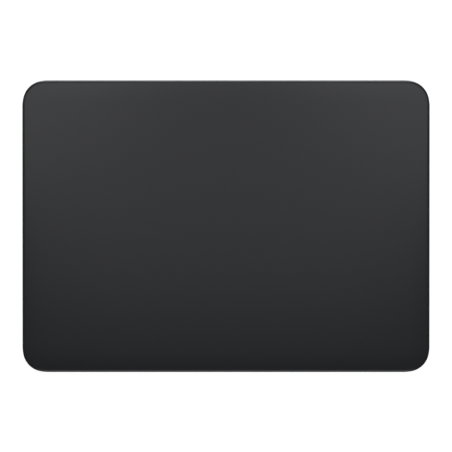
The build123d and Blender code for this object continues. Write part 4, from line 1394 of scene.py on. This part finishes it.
@dataclass
class Studio:
    """A white table under softboxes, seen from straight above through a long lens.

    The table and the sky show the camera plain white. Gloss sees a share of that white, and
    the table's white is a little dimmer near the object, where the lamps add the rest.
    """

    view_width: float = 177.6 * MM
    aim_height: float = 7.9 * MM
    lens: float = 1000.0
    sensor: float = 36.0
    floor_size: float = 8.0
    floor_color: float = 0.45
    near_glow: float = 0.85
    near_reach: float = 0.25
    far_reach: float = 0.9
    sky_level: float = 0.17
    floor_gloss: float = 0.30
    sky_gloss: float = 0.16
    lamps: list[Lamp] = field(
        default_factory=lambda: [
            Lamp("softbox_over", (0.0, 0.01, 0.26), 0.15, 0.0505),
            Lamp("softbox_left", (-0.12, 0.01, 0.26), 0.15, 0.0155),
            Lamp("softbox_right", (0.12, 0.01, 0.26), 0.15, 0.0155),
            Lamp("softbox_rear_left", (-0.11, 0.07, 0.26), 0.15, 0.087),
            Lamp("softbox_rear_right", (0.11, 0.07, 0.26), 0.15, 0.087),
            Lamp("softbox_rear", (0.0, 0.60, 0.40), 0.30, 1.60),
            Lamp("softbox_rear_strip", (0.0, 0.12, 0.26), 0.16, 0.028, depth=0.04),
            Lamp("softbox_far_left", (-0.60, 0.0, 0.40), 0.30, 0.12),
            Lamp("softbox_far_right", (0.60, 0.0, 0.40), 0.30, 0.12),
            Lamp("softbox_front", (0.0, -0.60, 0.42), 0.40, 0.90),
        ]
    )

    def camera(self) -> None:
        """Hangs the camera straight over the middle, far enough for a flat view."""
        distance = self.view_width * self.lens / self.sensor
        data = bpy.data.cameras.new("camera")
        data.lens = self.lens
        data.sensor_width = self.sensor
        data.clip_end = 2 * distance
        camera = bpy.data.objects.new("camera", data)
        camera.location = (0.0, 0.0, distance + self.aim_height)
        bpy.context.scene.collection.objects.link(camera)
        bpy.context.scene.camera = camera

    def seen_rays(self, nodes: Nodes, gloss_share: float) -> bpy.types.Node:
        """One for rays from the camera or through glass, and a share of it off gloss.

        Args:
            nodes: The nodes of the material or the world.
            gloss_share: What a ray off gloss sees.

        Returns:
            The node whose first output is that level.
        """
        path = nodes.add("LightPath")
        gloss = nodes.math("MULTIPLY", (path, "Is Glossy Ray"), gloss_share)
        first = nodes.math("MAXIMUM", (path, "Is Camera Ray"), (gloss, 0))
        return nodes.math("MAXIMUM", (first, 0), (path, "Is Transmission Ray"))

    def floor(self) -> bpy.types.Object:
        """A white table top that keeps the object's shadow, and runs out into plain white.

        Returns:
            The floor.
        """
        half = self.floor_size / 2
        corners = [(-half, -half, 0.0), (half, -half, 0.0), (half, half, 0.0), (-half, half, 0.0)]
        mesh = bpy.data.meshes.new("floor")
        mesh.from_pydata(corners, [], [(0, 1, 2, 3)])
        floor = bpy.data.objects.new("floor", mesh)
        bpy.context.scene.collection.objects.link(floor)
        material = bpy.data.materials.new("white_table")
        material.use_nodes = True
        nodes = Nodes(material.node_tree)
        seen = self.seen_rays(nodes, self.floor_gloss)
        place = nodes.add("TexCoord")
        reach = nodes.add("VectorMath", operation="LENGTH")
        nodes.join(place, "Object", reach, 0)
        glow_by_reach = nodes.add(
            "MapRange",
            in_From_Min=self.near_reach,
            in_From_Max=self.far_reach,
            in_To_Min=self.near_glow,
            in_To_Max=1.0,
        )
        nodes.join(reach, "Value", glow_by_reach, "Value")
        strength = nodes.math("MULTIPLY", (seen, 0), (glow_by_reach, 0))
        glow = nodes.add("Emission")
        nodes.join(strength, 0, glow, "Strength")
        matte = nodes.add("BsdfDiffuse", in_Color=(*(self.floor_color,) * 3, 1.0))
        both = nodes.add("AddShader")
        end = nodes.add("OutputMaterial")
        nodes.join(glow, 0, both, 0)
        nodes.join(matte, 0, both, 1)
        nodes.join(both, 0, end, 0)
        mesh.materials.append(material)
        return floor

    def world(self) -> None:
        """White behind everything, and a dim even sky for the light that falls on it."""
        world = bpy.data.worlds.new("studio")
        world.use_nodes = True
        nodes = Nodes(world.node_tree)
        seen = self.seen_rays(nodes, self.sky_gloss)
        strength = nodes.math("MAXIMUM", (seen, 0), self.sky_level)
        sky = nodes.add("Background", in_Color=(1.0, 1.0, 1.0, 1.0))
        end = nodes.add("OutputWorld")
        nodes.join(strength, 0, sky, "Strength")
        nodes.join(sky, 0, end, 0)
        bpy.context.scene.world = world

    def build(self) -> None:
        """Sets up the camera, the table, the lamps and the world."""
        self.camera()
        self.floor()
        self.world()
        for lamp in self.lamps:
            lamp.build()
        bpy.context.scene.view_settings.view_transform = "Standard"


def main() -> None:
    """Dresses the frame and builds the studio, one sub-assembly after the other."""
    logging.basicConfig(level=logging.INFO, format="%(name)s: %(message)s")
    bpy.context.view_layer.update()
    deck = Deck()
    log.info("dressed %d nodes", CarriedNodes().dress())
    log.info("glass: %s", TouchPlate(deck).build().name)
    log.info("feet: %d", len(Feet().build()))
    log.info("screw rows: %d", len(Screws(deck).build()))
    log.info("coils: %d", len(Coils(deck).build()))
    log.info("battery pieces: %d", len(Pouch().build()))
    log.info("bending cable: %s", SensorRibbon(deck).build().name)
    log.info("switch pieces: %d", len(SwitchSlider(deck).build()))
    Studio().build()


if __name__ == "__main__":
    main()
